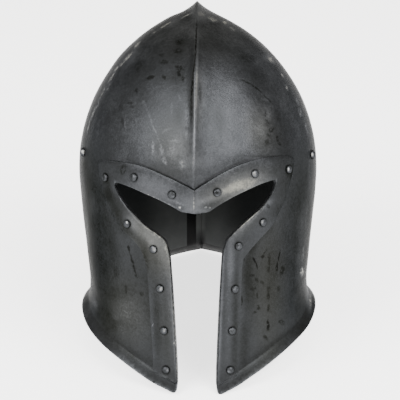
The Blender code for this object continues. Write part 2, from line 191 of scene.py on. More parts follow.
def step_between(value, low, high):
    """0 at low to 1 at high, smoothly; low may be the larger of the two."""
    t = min(max((value - low) / (high - low), 0.0), 1.0)
    return t * t * (3 - 2 * t)


def largest_angle(holds):
    """The largest angle up to a right angle for which a test holds, by halving."""
    low, high = 0.0, math.pi / 2
    for _ in range(30):
        middle = (low + high) / 2
        if holds(middle):
            low = middle
        else:
            high = middle
    return low


def shell_reach(direction):
    """Distance from the middle of the widest level to the skull, along a unit direction.

    Each half of the skull is part of an ellipsoid whose centre lies ARCH_OFFSET across the
    middle, so the two halves meet in a pointed arch along the keel.
    """
    offset_share = (ARCH_OFFSET / ARCH_RADIUS) ** 2
    reach = FRONT_REACH if direction.y < 0 else REAR_REACH
    length = reach / math.sqrt(1 - offset_share)
    a = (direction.x ** 2 + direction.z ** 2) / ARCH_RADIUS ** 2 + (direction.y / length) ** 2
    b = ARCH_OFFSET * abs(direction.x) / ARCH_RADIUS ** 2
    return (math.sqrt(b * b + a * (1 - offset_share)) - b) / a


def keel_rise(x):
    return KEEL_HEIGHT * math.exp((KEEL_ROUND - math.hypot(x, KEEL_ROUND)) / KEEL_SPREAD)


def plain_wall_reach(angle, height):
    """Distance of the wall from the axis, before keel, flare and lip."""
    level = shell_reach(Vector((math.sin(angle), -math.cos(angle), 0)))
    drop = WIDEST_HEIGHT - height
    taper = TAPER_SLOPE * (math.hypot(drop, TAPER_ONSET) - TAPER_ONSET) / HALF_WIDTH
    return level * (1 - taper)


def flare_size(angle):
    """Reach and band height of the flare at an angle from the front."""
    turn = math.degrees(abs(angle))
    return table_value(FLARE_REACH, turn), table_value(FLARE_BAND, turn)


def lip_reach(above):
    """Outward reach of the turned lip at a distance above the lower edge."""
    turned = LIP_DROP - above
    return math.tan(LIP_ANGLE) * (turned + math.hypot(turned, LIP_BEND)) / 2


def edge_height(angle):
    """Height of the lower edge, as worn, at an angle from the front."""
    stand_off = table_value(LOWER_EDGE, math.degrees(abs(angle)))
    height = 0.04
    # the reach depends on the height, and three rounds settle both
    for _ in range(3):
        reach = plain_wall_reach(angle, height) + flare_size(angle)[0] + lip_reach(0)
        back = TIP_REACH - reach * math.cos(angle)
        height = back * math.tan(REST_TILT) + stand_off
    return height


def edge_slope(angle):
    """Cosine of the lower edge's own slope at an angle from the front."""
    step = 0.01
    rise = edge_height(angle + step) - edge_height(angle - step)
    run = 2 * step * plain_wall_reach(angle, edge_height(angle))
    return run / math.hypot(rise, run)


def build_edge_table():
    """Height and slope of the lower edge at every degree."""
    rows = []
    for degree in range(181):
        angle = math.radians(degree)
        rows.append((edge_height(angle), edge_slope(angle)))
    return rows


EDGE = build_edge_table()


def edge_at(angle):
    """Height and slope of the lower edge at an angle from the front; the cheeks' edges dip."""
    turn = math.degrees(math.remainder(angle, math.tau))
    degree = min(abs(turn), 179.999)
    low = int(degree)
    part = degree - low
    height = EDGE[low][0] * (1 - part) + EDGE[low + 1][0] * part
    slope = EDGE[low][1] * (1 - part) + EDGE[low + 1][1] * part
    if turn > 0:
        height -= RIGHT_DIP * step_between(degree, *RIGHT_DIP_OUT)
    else:
        dip = LEFT_DIP * step_between(degree, *LEFT_DIP_IN)
        height -= dip * step_between(degree, *LEFT_DIP_OUT)
    return height, slope


def wall_point(angle, height):
    """Place on the wall below the widest level."""
    lowest, slope = edge_at(angle)
    above = (height - lowest) * slope
    flare, band = flare_size(angle)
    reach = plain_wall_reach(angle, height)
    reach += flare * (max(band - above, 0) / band) ** 2 + lip_reach(above)
    reach += keel_rise(reach * math.sin(angle))
    return Vector((reach * math.sin(angle), -reach * math.cos(angle), height))


def crown_point(angle, polar):
    """Place on the crown, at a polar angle from straight up."""
    direction = Vector((math.sin(polar) * math.sin(angle), -math.sin(polar) * math.cos(angle),
                        math.cos(polar)))
    reach = shell_reach(direction)
    reach += keel_rise(reach * direction.x)
    # the lip's long tail is carried on so that crown and wall join without a step
    lowest, slope = edge_at(angle)
    tail = lip_reach((WIDEST_HEIGHT - lowest) * slope)
    point = direction * reach
    point += Vector((math.sin(angle), -math.cos(angle), 0)) * tail * math.sin(polar)
    return point + Vector((0, 0, WIDEST_HEIGHT))


def skull_place(flat):
    """Place on the skull's outer face of a point of the flat pattern."""
    radius = math.hypot(flat[0], flat[1])
    angle = math.atan2(flat[0], -flat[1]) if radius > 1e-9 else 0.0
    if radius <= 1:
        return crown_point(angle, 2 * math.atan(radius))
    return wall_point(angle, WIDEST_HEIGHT - HALF_WIDTH * math.log(radius))


def skull_normal(flat):
    """Outward direction, scaled beside the keel so that an offset there runs straight out."""
    step = 0.002 * max(math.hypot(flat[0], flat[1]), 0.05)
    across = skull_place((flat[0] + step, flat[1])) - skull_place((flat[0] - step, flat[1]))
    along = skull_place((flat[0], flat[1] + step)) - skull_place((flat[0], flat[1] - step))
    normal = across.cross(along).normalized()
    straight = Vector((0, normal.y, normal.z)).normalized()
    straight /= straight.dot(normal)
    away = step_between(abs(skull_place(flat).x), *KEEL_BAND)
    return straight.lerp(normal, away)


def flat_from_level(angle, height):
    """Pattern point at an angle from the front and a height, on the wall or the low crown."""
    if height <= WIDEST_HEIGHT:
        radius = math.exp((WIDEST_HEIGHT - height) / HALF_WIDTH)
    else:
        radius = math.tan(largest_angle(lambda polar: crown_point(angle, polar).z > height) / 2)
    return Vector((radius * math.sin(angle), -radius * math.cos(angle)))


def flat_from_front(x, height):
    """Pattern point of a place seen from the front at x and height."""
    angle = largest_angle(lambda turn: skull_place(flat_from_level(turn, height)).x < abs(x))
    return flat_from_level(math.copysign(angle, x), height)


def pattern_scale(flat):
    """Metres on the skull for one unit of the pattern, there."""
    step = 0.001
    here = skull_place(flat)
    radius = math.hypot(flat[0], flat[1])
    outward = Vector(flat) * (1 + step / radius)
    return (skull_place(outward) - here).length / step


def rounded(corners):
    """Points of a closed outline whose corners (place, radius in metres) are rounded off."""
    outline = []
    count = len(corners)
    for i, (corner, radius) in enumerate(corners):
        if radius == 0:
            outline.append(corner)
            continue
        before = corners[i - 1][0] - corner
        after = corners[(i + 1) % count][0] - corner
        half_turn = before.angle(after) / 2
        reach = radius / pattern_scale(corner) / math.tan(half_turn)
        reach = min(reach, before.length * CORNER_SHARE, after.length * CORNER_SHARE)
        start = corner + before.normalized() * reach
        end = corner + after.normalized() * reach
        fewest, most = CORNER_STEPS
        steps = round(2 * reach * pattern_scale(corner) / CORNER_SPACING)
        steps = max(fewest, min(most, steps))
        for k in range(steps + 1):
            t = k / steps
            outline.append(start * (1 - t) ** 2 + corner * (2 * t * (1 - t)) + end * t ** 2)
    return outline


def spaced(outline, spacing):
    """The outline with points added wherever two lie further apart than spacing."""
    result = []
    for start, end in zip(outline, outline[1:] + outline[:1]):
        gap = (skull_place(end) - skull_place(start)).length
        pieces = max(1, math.ceil(gap / spacing))
        result.extend(start.lerp(end, k / pieces) for k in range(pieces))
    return result


def face_rows(rows):
    """Right-hand corners from a table seen from the front, and their left-hand twins."""
    right, left = [], []
    for x, height, left_out, left_drop, radius in rows:
        shift = SLOT_SHIFT * step_between(height, *SLOT_SHIFT_BAND)
        right.append((flat_from_front(x + shift, height), radius))
        if x > 0:
            left.append((flat_from_front(shift - x - left_out, height - left_drop), radius))
    return right, left


def edge_flat(angle, above):
    """Pattern point a distance above the lower edge."""
    height, slope = edge_at(angle)
    return flat_from_level(angle, height + above / slope)


def foot_angle(x_foot, above):
    """Angle from the front at which a line above the lower edge has the given x."""
    return largest_angle(lambda angle: skull_place(edge_flat(angle, above)).x < x_foot)


def skull_outline():
    """Outline of the skull's pattern: down the face opening, then round the lower edge."""
    right, left = face_rows(FACE_OPENING)
    foot_right = foot_angle(FACE_OPENING[0][0] + SLOT_SHIFT, 0)
    foot_left = foot_angle(FACE_OPENING[0][0] - SLOT_SHIFT, 0)
    tips = [(edge_flat(foot_right, 0), TIP_RADIUS), (edge_flat(-foot_left, 0), TIP_RADIUS)]
    first, last = foot_left + TIP_CLEARANCE, math.tau - foot_right - TIP_CLEARANCE
    steps = round(math.tau * WALL_REACH / SKULL_SPACING)
    rim = [(edge_flat(-first - (last - first) * k / steps, 0), 0) for k in range(steps + 1)]
    return rounded(tips[:1] + right[1:] + left[:0:-1] + tips[1:] + rim)


def keel_rows(spacing):
    """Lines that run from the brow over the crown to the neck, on and beside the keel."""
    rows = []
    steps = round(math.pi * CROWN_REACH / spacing)
    for x in KEEL_ROWS:
        row = []
        for k in range(BROW_POINTS, 0, -1):
            height = WIDEST_HEIGHT - (k - 0.5) * spacing
            row.append(flat_from_level(math.atan2(x, FRONT_REACH), height))
        for k in range(1, steps):
            turn = math.pi * k / steps
            along, up = -CROWN_REACH * math.cos(turn), CROWN_REACH * math.sin(turn)
            reach = math.tan(math.atan2(math.hypot(x, along), up) / 2)
            row.append(Vector((x, along)).normalized() * reach)
        height = WIDEST_HEIGHT
        while height > edge_at(math.pi)[0]:
            row.append(flat_from_level(math.atan2(x, -REAR_REACH), height))
            height -= spacing
        rows.append(row)
    return rows


def flare_rows(spacing):
    """Lines that follow the lower edge at the lip's crease and up the flare."""
    rows = []
    steps = round(math.tau * WALL_REACH / spacing)
    for above in FLARE_ROWS:
        rows.append([edge_flat(math.tau * k / steps - math.pi, above) for k in range(1, steps)])
    return rows


def rings(spacing):
    """Evenly spread points over the whole pattern, in staggered rings."""
    row_height = spacing * math.sqrt(3) / 2
    radii = []
    for k in range(1, int(CROWN_REACH * math.pi / 2 / row_height)):
        radii.append(math.tan(k * row_height / CROWN_REACH / 2))
    drop = 0.0
    while drop < WIDEST_HEIGHT:
        radii.append(math.exp(drop / HALF_WIDTH))
        drop += row_height
    points = []
    for index, radius in enumerate(radii):
        girth = math.tau * WALL_REACH * (2 * radius / (1 + radius ** 2) if radius < 1 else 1)
        count = max(6, round(girth / spacing))
        for k in range(count):
            angle = math.tau * (k + 0.5 * (index % 2)) / count
            points.append(Vector((radius * math.sin(angle), -radius * math.cos(angle))))
    return points


def inside(points, outline):
    """For each pattern point, whether it lies within a closed outline."""
    points, ends = np.array(points), np.array(outline)
    starts = np.roll(ends, 1, axis=0)
    hit = np.zeros(len(points), bool)
    for (x0, y0), (x1, y1) in zip(starts, ends):
        if y0 != y1:
            level = (y0 > points[:, 1]) != (y1 > points[:, 1])
            cut = x0 + (points[:, 1] - y0) / (y1 - y0) * (x1 - x0)
            hit ^= level & (points[:, 0] < cut)
    return hit


def clear_of(taken, candidates, distance):
    """For each candidate, whether it keeps its distance from the points already taken."""
    tree = kdtree.KDTree(len(taken))
    for index, flat in enumerate(taken):
        tree.insert(skull_place(flat), index)
    tree.balance()
    return np.array([tree.find(skull_place(flat))[2] > distance for flat in candidates])


def hammered(place):
    """Unevenness that the hammer left in the sheet, outwards from the plain form."""
    broad = noise.noise(place / BROAD_SIZE)
    fine = noise.noise(place / FINE_SIZE + FINE_SHIFT)
    return BROAD_DENTS * broad + FINE_DENTS * fine


def shoulder_swell(place):
    """How much fuller the crown stands on its left than on its right."""
    across = step_between(place.x, *SWELL_INNER) * step_between(place.x, *SWELL_OUTER)
    return SWELL * across * step_between(place.z, *SWELL_UP)


def keel_pinch(place):
    """Depth of the crease beside the keel, on its left over the forehead."""
    along = step_between(place.z, *PINCH_UP) * step_between(place.z, *PINCH_DOWN)
    across = math.exp(-((place.x - PINCH_MIDDLE) / PINCH_WIDTH) ** 2)
    return PINCH * along * across if place.y < 0 else 0.0


def note(mesh, name, values):
    """Store a number or a vector for each point of a mesh, under a name."""
    values = np.array(values, np.float32)
    kind, key = ('FLOAT', "value") if values.ndim == 1 else ('FLOAT_VECTOR', "vector")
    stored = mesh.attributes.new(name, kind, 'POINT')
    stored.data.foreach_set(key, values.ravel())


def formed_sheet(name, outline, holes, rows, spacing, low, high):
    """Sheet cut to an outline with holes, between two levels over the skull's outer face.

    Its points carry "chart", the place in the front view, and "side", 1 outside and 0 inside.
    """
    flats, edges = [], []
    for loop in [outline] + holes:
        start, count = len(flats), len(loop)
        edges.extend((start + k, start + (k + 1) % count) for k in range(count))
        flats.extend(loop)
    for row in rows:
        usable = inside(row, outline) & clear_of(flats, row, spacing * ROW_CLEARANCE)
        previous = None
        for flat, is_usable in zip(row, usable):
            if is_usable:
                if previous is not None:
                    edges.append((previous, len(flats)))
                previous = len(flats)
                flats.append(flat)
            else:
                previous = None
    field = rings(spacing)
    usable = inside(field, outline) & clear_of(flats, field, spacing * FIELD_CLEARANCE)
    flats.extend(flat for flat, is_usable in zip(field, usable) if is_usable)

    verts, _, faces, _, _, _ = geometry.delaunay_2d_cdt(flats, edges, [], 0, 1e-7)
    middles = [(verts[a] + verts[b] + verts[c]) / 3 for a, b, c in faces]
    usable = inside(middles, outline)
    for hole in holes:
        usable &= ~inside(middles, hole)
    kept = []
    for (a, b, c), is_usable in zip(faces, usable):
        if is_usable:
            turn = (verts[b] - verts[a]).cross(verts[c] - verts[a])
            kept.append((a, b, c) if turn > 0 else (a, c, b))
    used = sorted({i for face in kept for i in face})
    number = {old: new for new, old in enumerate(used)}
    kept = [tuple(number[i] for i in face) for face in kept]
    count = len(used)

    places, charts = [], []
    normals = [skull_normal(verts[i]) for i in used]
    bases = [skull_place(verts[i]) for i in used]
    for base, normal in zip(bases, normals):
        base += normal * (hammered(base) + shoulder_swell(base) - keel_pinch(base))
    for level in (high, low):
        for base, normal in zip(bases, normals):
            place = base + normal * level
            charts.append(front_view(place, normal))
            places.append(REST @ place)
    sides = [side for a, b, c in kept for side in ((a, b), (b, c), (c, a))]
    shared = set(sides)
    rim = [(b, a, a + count, b + count) for a, b in sides if (b, a) not in shared]
    back = [(c + count, b + count, a + count) for a, b, c in kept]
    mesh = bpy.data.meshes.new(name)
    mesh.from_pydata(places, [], kept + back + rim)
    note(mesh, "chart", charts)
    note(mesh, "side", [1] * count + [0] * count)
    return mesh


# The front view: where a place shows when the helmet's face is looked at, from 1.4 m away and
# a little above, in four hundredths of the view's width across and down
VIEW_RISE = math.radians(8)
VIEW_TURN = math.radians(1.3)
VIEW_LEAN = math.radians(0.25)
VIEW_DISTANCE = 1.4
VIEW_HEIGHT = 0.150
VIEW_WIDTH = 0.366
VIEW_UNITS = 400
VIEW_MIDDLE = (198.1, 200.0)
VIEW_FADE = 0.22


def view_matrix():
    """The viewer's place and directions round the helmet as worn."""
    forward = Vector((0, math.cos(VIEW_RISE), -math.sin(VIEW_RISE)))
    up = Vector((0, math.sin(VIEW_RISE), math.cos(VIEW_RISE)))
    eye = Vector((0, 0, VIEW_HEIGHT)) - forward * VIEW_DISTANCE
    level = Matrix(((1, 0, 0, eye.x), (0, up.y, -forward.y, eye.y), (0, up.z, -forward.z, eye.z),
                    (0, 0, 0, 1)))
    turned = Matrix.Rotation(VIEW_TURN, 4, 'Z') @ level
    return turned @ Matrix.Rotation(-VIEW_LEAN, 4, 'Z')


VIEW = view_matrix()
TO_VIEW = VIEW.inverted()


def front_view(place, out):
    """Across and down in the front view of a place on the helmet as worn.

    The third value is 0 on the faces seen there and 1 on those well turned away.
    """
    seen = TO_VIEW @ place
    unit = VIEW_UNITS / VIEW_WIDTH * VIEW_DISTANCE / -seen.z
    turned_away = out.normalized().dot((place - VIEW.translation).normalized())
    return Vector((VIEW_MIDDLE[0] + seen.x * unit, VIEW_MIDDLE[1] - seen.y * unit,
                   min(1, max(0, turned_away / VIEW_FADE))))


def in_scene(name, data):
    """An object in the scene for a mesh, a lamp or a camera."""
    made = bpy.data.objects.new(name, data)
    bpy.context.scene.collection.objects.link(made)
    return made


def finish_sheet(name, mesh, nodes, material):
    """Round a sheet's cut edges, give it its finish, and let it stand for its CAD node."""
    mesh.materials.append(material)
    piece = in_scene(name, mesh)
    rounding = piece.modifiers.new("Rounded edges", 'BEVEL')
    rounding.width = EDGE_ROUNDING
    rounding.segments = 2
    rounding.limit_method = 'ANGLE'
    rounding.angle_limit = ROUNDED_ANGLE
    mesh.shade_smooth()
    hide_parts(*nodes)
    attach(piece, "root")


# Finish of the steel

class Signal:
    """A value that runs through a node tree, for use in ordinary sums."""

    def __init__(self, wiring, socket):
        self.wiring, self.socket = wiring, socket

    def sum_with(self, operation, *values):
        return self.wiring.node('ShaderNodeMath', {"operation": operation}, values)

    def __add__(self, other):
        return self.sum_with('ADD', self, other)

    def __sub__(self, other):
        return self.sum_with('SUBTRACT', self, other)

    def __rsub__(self, other):
        return self.sum_with('SUBTRACT', other, self)

    def __mul__(self, other):
        return self.sum_with('MULTIPLY', self, other)

    def __abs__(self):
        return self.sum_with('ABSOLUTE', self)

    __radd__, __rmul__ = __add__, __mul__

    def between(self, low, high, most=1.0):
        """0 at low to most at high, smoothly; low may be the larger of the two."""
        settings = {"interpolation_type": 'SMOOTHSTEP', "clamp": False}
        return self.wiring.node('ShaderNodeMapRange', settings, (self, low, high, 0, most))


class Wiring:
    """A node tree whose nodes are joined by ordinary sums."""

    def __init__(self, tree):
        self.tree = tree

    def node(self, kind, settings, inputs, output=0):
        """A node with its settings and its sockets' values or links, given in order or by name."""
        made = self.tree.nodes.new(kind)
        for key, value in settings.items():
            if key == "stops":
                self.set_stops(made.color_ramp, value)
            else:
                setattr(made, key, value)
        pairs = inputs.items() if isinstance(inputs, dict) else enumerate(inputs)
        for key, value in pairs:
            self.feed(made.inputs[key], value)
        return Signal(self, made.outputs[output])

    def feed(self, socket, value):
        if isinstance(value, Signal):
            self.tree.links.new(value.socket, socket)
        else:
            socket.default_value = value

    @staticmethod
    def set_stops(ramp, stops):
        while len(ramp.elements) < len(stops):
            ramp.elements.new(1.0)
        for element, (position, colour) in zip(ramp.elements, stops):
            element.position, element.color = position, (*colour, 1)

    def part(self, vector, axis):
        return self.node('ShaderNodeSeparateXYZ', {}, (vector,), axis)


class Finish(Wiring):
    """A material, with its shader, noise and marks: worn places, stains and painted light."""

    def __init__(self, name):
        self.material = bpy.data.materials.new(name)
        self.material.use_nodes = True
        super().__init__(self.material.node_tree)
        self.shader = self.tree.nodes["Principled BSDF"]
        self.place = self.node('ShaderNodeTexCoord', {}, (), "Object")

    def attribute(self, name, output="Fac"):
        return self.node('ShaderNodeAttribute', {"attribute_name": name}, (), output)

    def noise(self, size, detail, stretch=(1, 1, 1)):
        """Noise of a grain size in metres, from 0 to 1; stretch above 1 draws it out."""
        scale = tuple(1 / (size * s) for s in stretch)
        mapped = self.node('ShaderNodeMapping', {"vector_type": 'POINT'},
                           {"Vector": self.place, "Scale": scale})
        return self.node('ShaderNodeTexNoise', {},
                         {"Vector": mapped, "Scale": 1.0, "Detail": detail, "Roughness": 0.55})

    def marks(self, view, chart, soft, way='MAXIMUM'):
        """The strongest, or the sum, at each place of the front view, of a chart's oval marks.

        A row of the chart gives x, y, length, width, turn clockwise in degrees, and strength.
        """
        total = None
        for x, y, length, width, turn, strength in chart:
            half = (1 + soft) / 2
            local = self.node('ShaderNodeMapping', {"vector_type": 'TEXTURE'},
                              {"Vector": view, "Location": (x, y, 0),
                               "Rotation": (0, 0, math.radians(turn)),
                               "Scale": (length * half, width * half, 1)})
            inward = self.node('ShaderNodeTexGradient', {"gradient_type": 'SPHERICAL'}, (local,),
                               "Fac")
            part = inward.between(0, soft / half, strength)
            total = part if total is None else total.sum_with(way, total, part)
        return total

    def blend(self, share, low, high, way='MIX'):
        settings = {"data_type": 'RGBA', "blend_type": way}
        return self.node('ShaderNodeMix', settings, {0: share, 6: low, 7: high}, 2)

    def set(self, **sockets):
        for key, value in sockets.items():
            self.feed(self.shader.inputs[key.replace("_", " ")], value)


# What is noted for the finish: the step along an edge, the furthest distance, and the rings of
# points round a rivet
EDGE_STEP = 0.0008
NOTED_REACH = 0.02
MARK_RINGS = (0.0038, 0.0052, 0.0070)
RING_POINTS = 14


def note_distance(mesh, name, places):
    """Note for each point its distance in millimetres from the nearest of some places."""
    tree = kdtree.KDTree(len(places))
    for index, place in enumerate(places):
        tree.insert(place, index)
    tree.balance()
    reach = [min(tree.find(vert.co)[2], NOTED_REACH) * 1000 for vert in mesh.vertices]
    note(mesh, name, reach)


def placed(flats, level=0.0):
    """Places in the lying helmet of pattern points."""
    return [REST @ (skull_place(flat) + skull_normal(flat) * level) for flat in flats]


def ring(centre, radius, count):
    """Pattern points of a ring round one of them, its radius in metres."""
    reach = radius / pattern_scale(centre)
    turns = [math.tau * k / count for k in range(count)]
    return [centre + Vector((math.cos(turn), math.sin(turn))) * reach for turn in turns]


def rivet_rings(places):
    """Closed rows of pattern points round the rivets, for the darker rings and marks round them.
    """
    rings_round = [ring(flat, radius, RING_POINTS) for flat in places for radius in MARK_RINGS]
    return [points + points[:1] for points in rings_round]


# Tones of the inside, which isn't worn: its plain steel from dark to light, painted shade on the
# turned lip and the sides, the painted glance of light and shade that show through the slot, and
# painted black shadow in the keel's hollow and in the lip's crease
INSIDE_DARK = (0.026, 0.0275, 0.027, 1)
INSIDE_LIGHT = (0.046, 0.048, 0.047, 1)
INSIDE_LIP_SHADE = (0.015, 0.0155, 0.015, 1)
INSIDE_SIDE_SHADE = (0.014, 0.015, 0.015, 1)
INSIDE_GLANCE = (0.085, 0.088, 0.085, 1)
INSIDE_SHADE = (0.006, 0.006, 0.006, 1)
INSIDE_BLACK_SHADOW = (0.003, 0.003, 0.003, 1)

# Across the front view: the keel's hollow at the rear, and the middle of the slot
HOLLOW_MIDDLE = 191.5
SLOT_MIDDLE = 200

# Tone of the steel, from the blackened to the bare; painted highlights and shade move it along too
STEEL_TONES = [
    # share worn bare or painted lighter, colour
    (0.00, (0.003, 0.003, 0.003)),
    (0.25, (0.010, 0.0105, 0.010)),
    (0.50, (0.026, 0.0272, 0.0290)),
    (0.75, (0.064, 0.0665, 0.072)),
    (1.00, (0.220, 0.220, 0.210)),
]

# Tint of what the steel reflects at a flat angle
STEEL_TINT = (0.42, 0.42, 0.42, 1)


def blackened_steel(name, base_wear, tone_and_light_chart, rub_and_glint_chart, stain_and_shadow_chart, warm):
    """Blackened steel, with charts of where it is paler or darker, worn through, spotted dark and
    warmer, and of the highlights, glints and shade painted on it.

    The charts are of the outer face in the front view. Behind, it is scuffed and pitted all over,
    and worn bright along the keel. Inside, its plain tone takes painted shade and a painted glance
    of light.
    """
    steel = Finish(name)
    view = steel.attribute("chart", "Vector")
    outside = steel.attribute("side").between(0.0, 0.4)
    edge = steel.attribute("edge")
    rivet = steel.attribute("rivet")
    broad = steel.noise(0.055, 2)
    cloud = steel.noise(0.016, 4)
    grain = steel.noise(0.0030, 4)
    fine = steel.noise(0.0012, 2)
    chip = steel.noise(0.0021, 3)
    wander = steel.node('ShaderNodeTexNoise', {}, {"Vector": steel.place, "Scale": 260.0}, "Color")
    ragged = steel.node('ShaderNodeVectorMath', {"operation": 'MULTIPLY_ADD'},
                        (wander, (2.4, 2.4, 0), view))
    ragged = steel.node('ShaderNodeVectorMath', {"operation": 'SUBTRACT'}, (ragged, (1.2, 1.2, 0)))

    wear_and_light = base_wear + (broad - 0.5) * 0.10 + (cloud - 0.5) * 0.15 + (grain - 0.5) * 0.17
    wear_and_light = wear_and_light + (fine - 0.5) * 0.20
    # The charts add painted highlights, reflection, glints and shade to the worn tone and the
    # stains
    wear_and_light = wear_and_light + steel.marks(view, tone_and_light_chart, 0.9, 'ADD') * outside
    speckle = chip.between(0.40, 0.58) * 0.9 + fine * 0.5 + 0.1
    wear_and_light = wear_and_light + steel.marks(ragged, rub_and_glint_chart, 0.7) * outside * speckle
    wear_and_light = wear_and_light + edge.between(1.6, 0.0) * (grain.between(0.35, 0.65) * 0.20 + 0.10)
    stain_and_shade = steel.marks(ragged, stain_and_shadow_chart, 0.5) * outside * chip.between(0.34, 0.50) * 1.1
    behind = steel.part(view, "Z") * outside
    ridge = abs(steel.part(steel.place, "X")).between(0.0034, 0.0004)
    scuff = steel.noise(0.010, 4, (1, 1, 2.2)).between(0.56, 0.72)
    pit = steel.noise(0.0050, 2, (1, 1, 1.5)).between(0.62, 0.68) * broad.between(0.44, 0.56)
    ridge = ridge * (cloud.between(0.36, 0.66) * 0.08 + 0.05)
    wear_and_light = wear_and_light + behind * (scuff * 0.11 + ridge) * speckle
    stain_and_shade = stain_and_shade + behind * pit * chip.between(0.34, 0.50) * 0.18
    # the sheet is darker in a ring round each rivet's head
    wear_and_light = wear_and_light - stain_and_shade - rivet.between(5.4, 4.0) * 0.10
    colour = steel.node('ShaderNodeValToRGB', {"stops": STEEL_TONES}, (wear_and_light,), "Color")
    warmth = steel.marks(view, warm, 0.9)
    colour = steel.blend(warmth, colour, (1.04, 1.02, 0.92, 1), 'MULTIPLY')
    inside_tone_and_shade = steel.blend(cloud, INSIDE_DARK, INSIDE_LIGHT)
    across, down = steel.part(view, "X"), steel.part(view, "Y")
    beside = abs(across - SLOT_MIDDLE).between(7, 3)
    # Painted light inside: shade over the turned lip, a black shadow line in its crease, a glance
    # of light above and shade below by the slot's middle, shade towards the sides, black in the
    # keel's hollow
    for share, tone in (
            (edge.between(12.0, 9.5), INSIDE_LIP_SHADE),
            (edge.between(11.0, 9.5) * edge.between(5.0, 6.5), INSIDE_BLACK_SHADOW),
            (beside * down.between(235, 227) * 0.5, INSIDE_GLANCE),
            (beside * down.between(233, 242) * 0.7, INSIDE_SHADE),
            (abs(across - HOLLOW_MIDDLE).between(20, 55), INSIDE_SIDE_SHADE),
            (abs(across - HOLLOW_MIDDLE).between(4.9, 4.3), INSIDE_BLACK_SHADOW)):
        inside_tone_and_shade = steel.blend(share, inside_tone_and_shade, tone)
    steel.set(Base_Color=steel.blend(outside, inside_tone_and_shade, colour), Metallic=outside,
              Specular_Tint=STEEL_TINT, Specular_IOR_Level=0.12,
              Roughness=0.42 + (cloud - 0.5) * 0.14 + (grain - 0.5) * 0.16 + stain_and_shade * 0.3,
              Normal=steel.node('ShaderNodeBump', {},
                                {"Strength": 0.4, "Distance": 0.0004,
                                 "Height": grain * 0.6 + fine * 0.5}))
    return steel.material


# Broad paler (+) and darker (-) areas of the skull in the front view: painted highlights of the
# lamps on the forehead, the keel's crest, the flares and the slot's edges, painted reflection
# along the outline, and painted shadow lines above the border plate, besides the steel's own tone
SKULL_TONE_AND_LIGHT = [
    # x, y, length, width, turn, strength
    (228, 108, 84, 48, 90, 0.06), (210, 130, 40, 20, 90, -0.04), (226, 98, 34, 30, 90, 0.04),
    (253, 132, 60, 20, 84, 0.09), (170, 120, 36, 20, 84, -0.03), (170, 33, 40, 15, -30, 0.1),
    (142, 53, 40, 15, -42, 0.1), (120, 79, 36, 14, -56, 0.06), (105, 108, 36, 14, -66, 0.05),
    (96, 140, 36, 14, -78, 0.04), (228, 33, 40, 17, 30, 0.14), (256, 54, 40, 17, 44, 0.14),
    (277, 82, 40, 18, 56, 0.13), (290, 112, 36, 18, 68, 0.13), (299, 142, 36, 18, 78, 0.1),
    (150, 296, 110, 10, 88, -0.06), (109, 326, 50, 18, 58, -0.07), (200, 97, 62, 11, 93, 0.14),
    (180, 116, 18, 12, 90, -0.06), (194, 162, 26, 12, 0, 0.1), (124, 292, 18, 14, 0, -0.1),
    (124, 325, 18, 12, 0, -0.07), (128, 57, 28, 12, -45, 0.1), (246, 274, 48, 9, 91, -0.1),
    (244, 345, 44, 9, 92, -0.13), (92, 208, 20, 8, 90, 0.1), (84, 164, 14, 6, 90, -0.08),
    (188, 116, 16, 7, 90, 0.08), (92, 116, 14, 8, -70, -0.07), (300, 260, 16, 8, 90, 0.09),
    (264, 232, 20, 8, -45, -0.09), (220, 120, 20, 11, 90, -0.07), (292, 340, 16, 10, -35, 0.08),
    (228, 28, 14, 10, 30, 0.08), (156, 156, 16, 12, 0, 0.07), (156, 92, 18, 14, 0, 0.07),
    (202, 13, 18, 14, 0, 0.36), (221, 21, 14, 8, 30, 0.12), (196, 36, 16, 12, 0, 0.09),
    (198, 81, 24, 12, 90, 0.07), (132, 356, 14, 9, 35, -0.09), (253, 245, 13, 8, -50, -0.09),
    (268, 100, 14, 8, 50, 0.09), (172, 77, 14, 10, 0, -0.08), (236, 88, 16, 16, 0, 0.08),
    (92, 308, 12, 8, 60, 0.09), (124, 229, 14, 8, 50, -0.09), (191, 27, 26, 16, 0, 0.12),
    (172, 21, 16, 10, -30, 0.14), (268, 122, 66, 14, 86, 0.1), (237, 149, 24, 14, -20, 0.08),
    (300, 277, 16, 8, 90, 0.1), (170, 128, 70, 40, 80, 0.06), (126, 318, 34, 24, 70, 0.02),
    (132, 136, 84, 36, 78, 0.1), (202, 156, 60, 44, 90, 0.15), (250, 136, 84, 40, 80, 0.07),
    (222, 72, 30, 40, 90, 0.07), (250, 285, 110, 11, 91, -0.08), (271, 270, 66, 9, 91, -0.04),
    (107, 255, 130, 26, 90, -0.15), (140, 290, 110, 26, 86, -0.09), (292, 255, 130, 30, 90, -0.1),
    (262, 270, 120, 30, 90, -0.07), (262, 362, 110, 16, -41, -0.12), (140, 362, 90, 10, 40, -0.04),
    (94, 190, 60, 22, 90, -0.1), (290, 160, 90, 40, 90, -0.04), (90, 318, 30, 10, 55, 0.1),
    (309, 300, 26, 5, 88, 0.22), (302, 235, 60, 7, 94, 0.12), (86, 240, 90, 6, 88, 0.1),
    (268, 58, 9, 6, 30, 0.2), (197.2, 60, 34, 2.4, 92, 0.14), (196.3, 88, 44, 3.2, 91, 0.2),
    (195, 122, 50, 2.6, 92, 0.1), (193.4, 158, 56, 2, 91, 0.08), (174.8, 325, 140, 4, 87, 0.24),
    (220.4, 316, 150, 4, 92.7, 0.18), (145, 166.2, 24, 2.2, 21, -0.12),
    (165, 175, 24, 2.2, 25, -0.14), (184.5, 185.4, 24, 2.2, 29, -0.16),
    (203, 183.4, 24, 2, -36, -0.1), (222, 171, 24, 2, -29, -0.06), (241, 162.4, 24, 2, -21, -0.06),
    (270, 156.2, 40, 2, 0, -0.08),
]
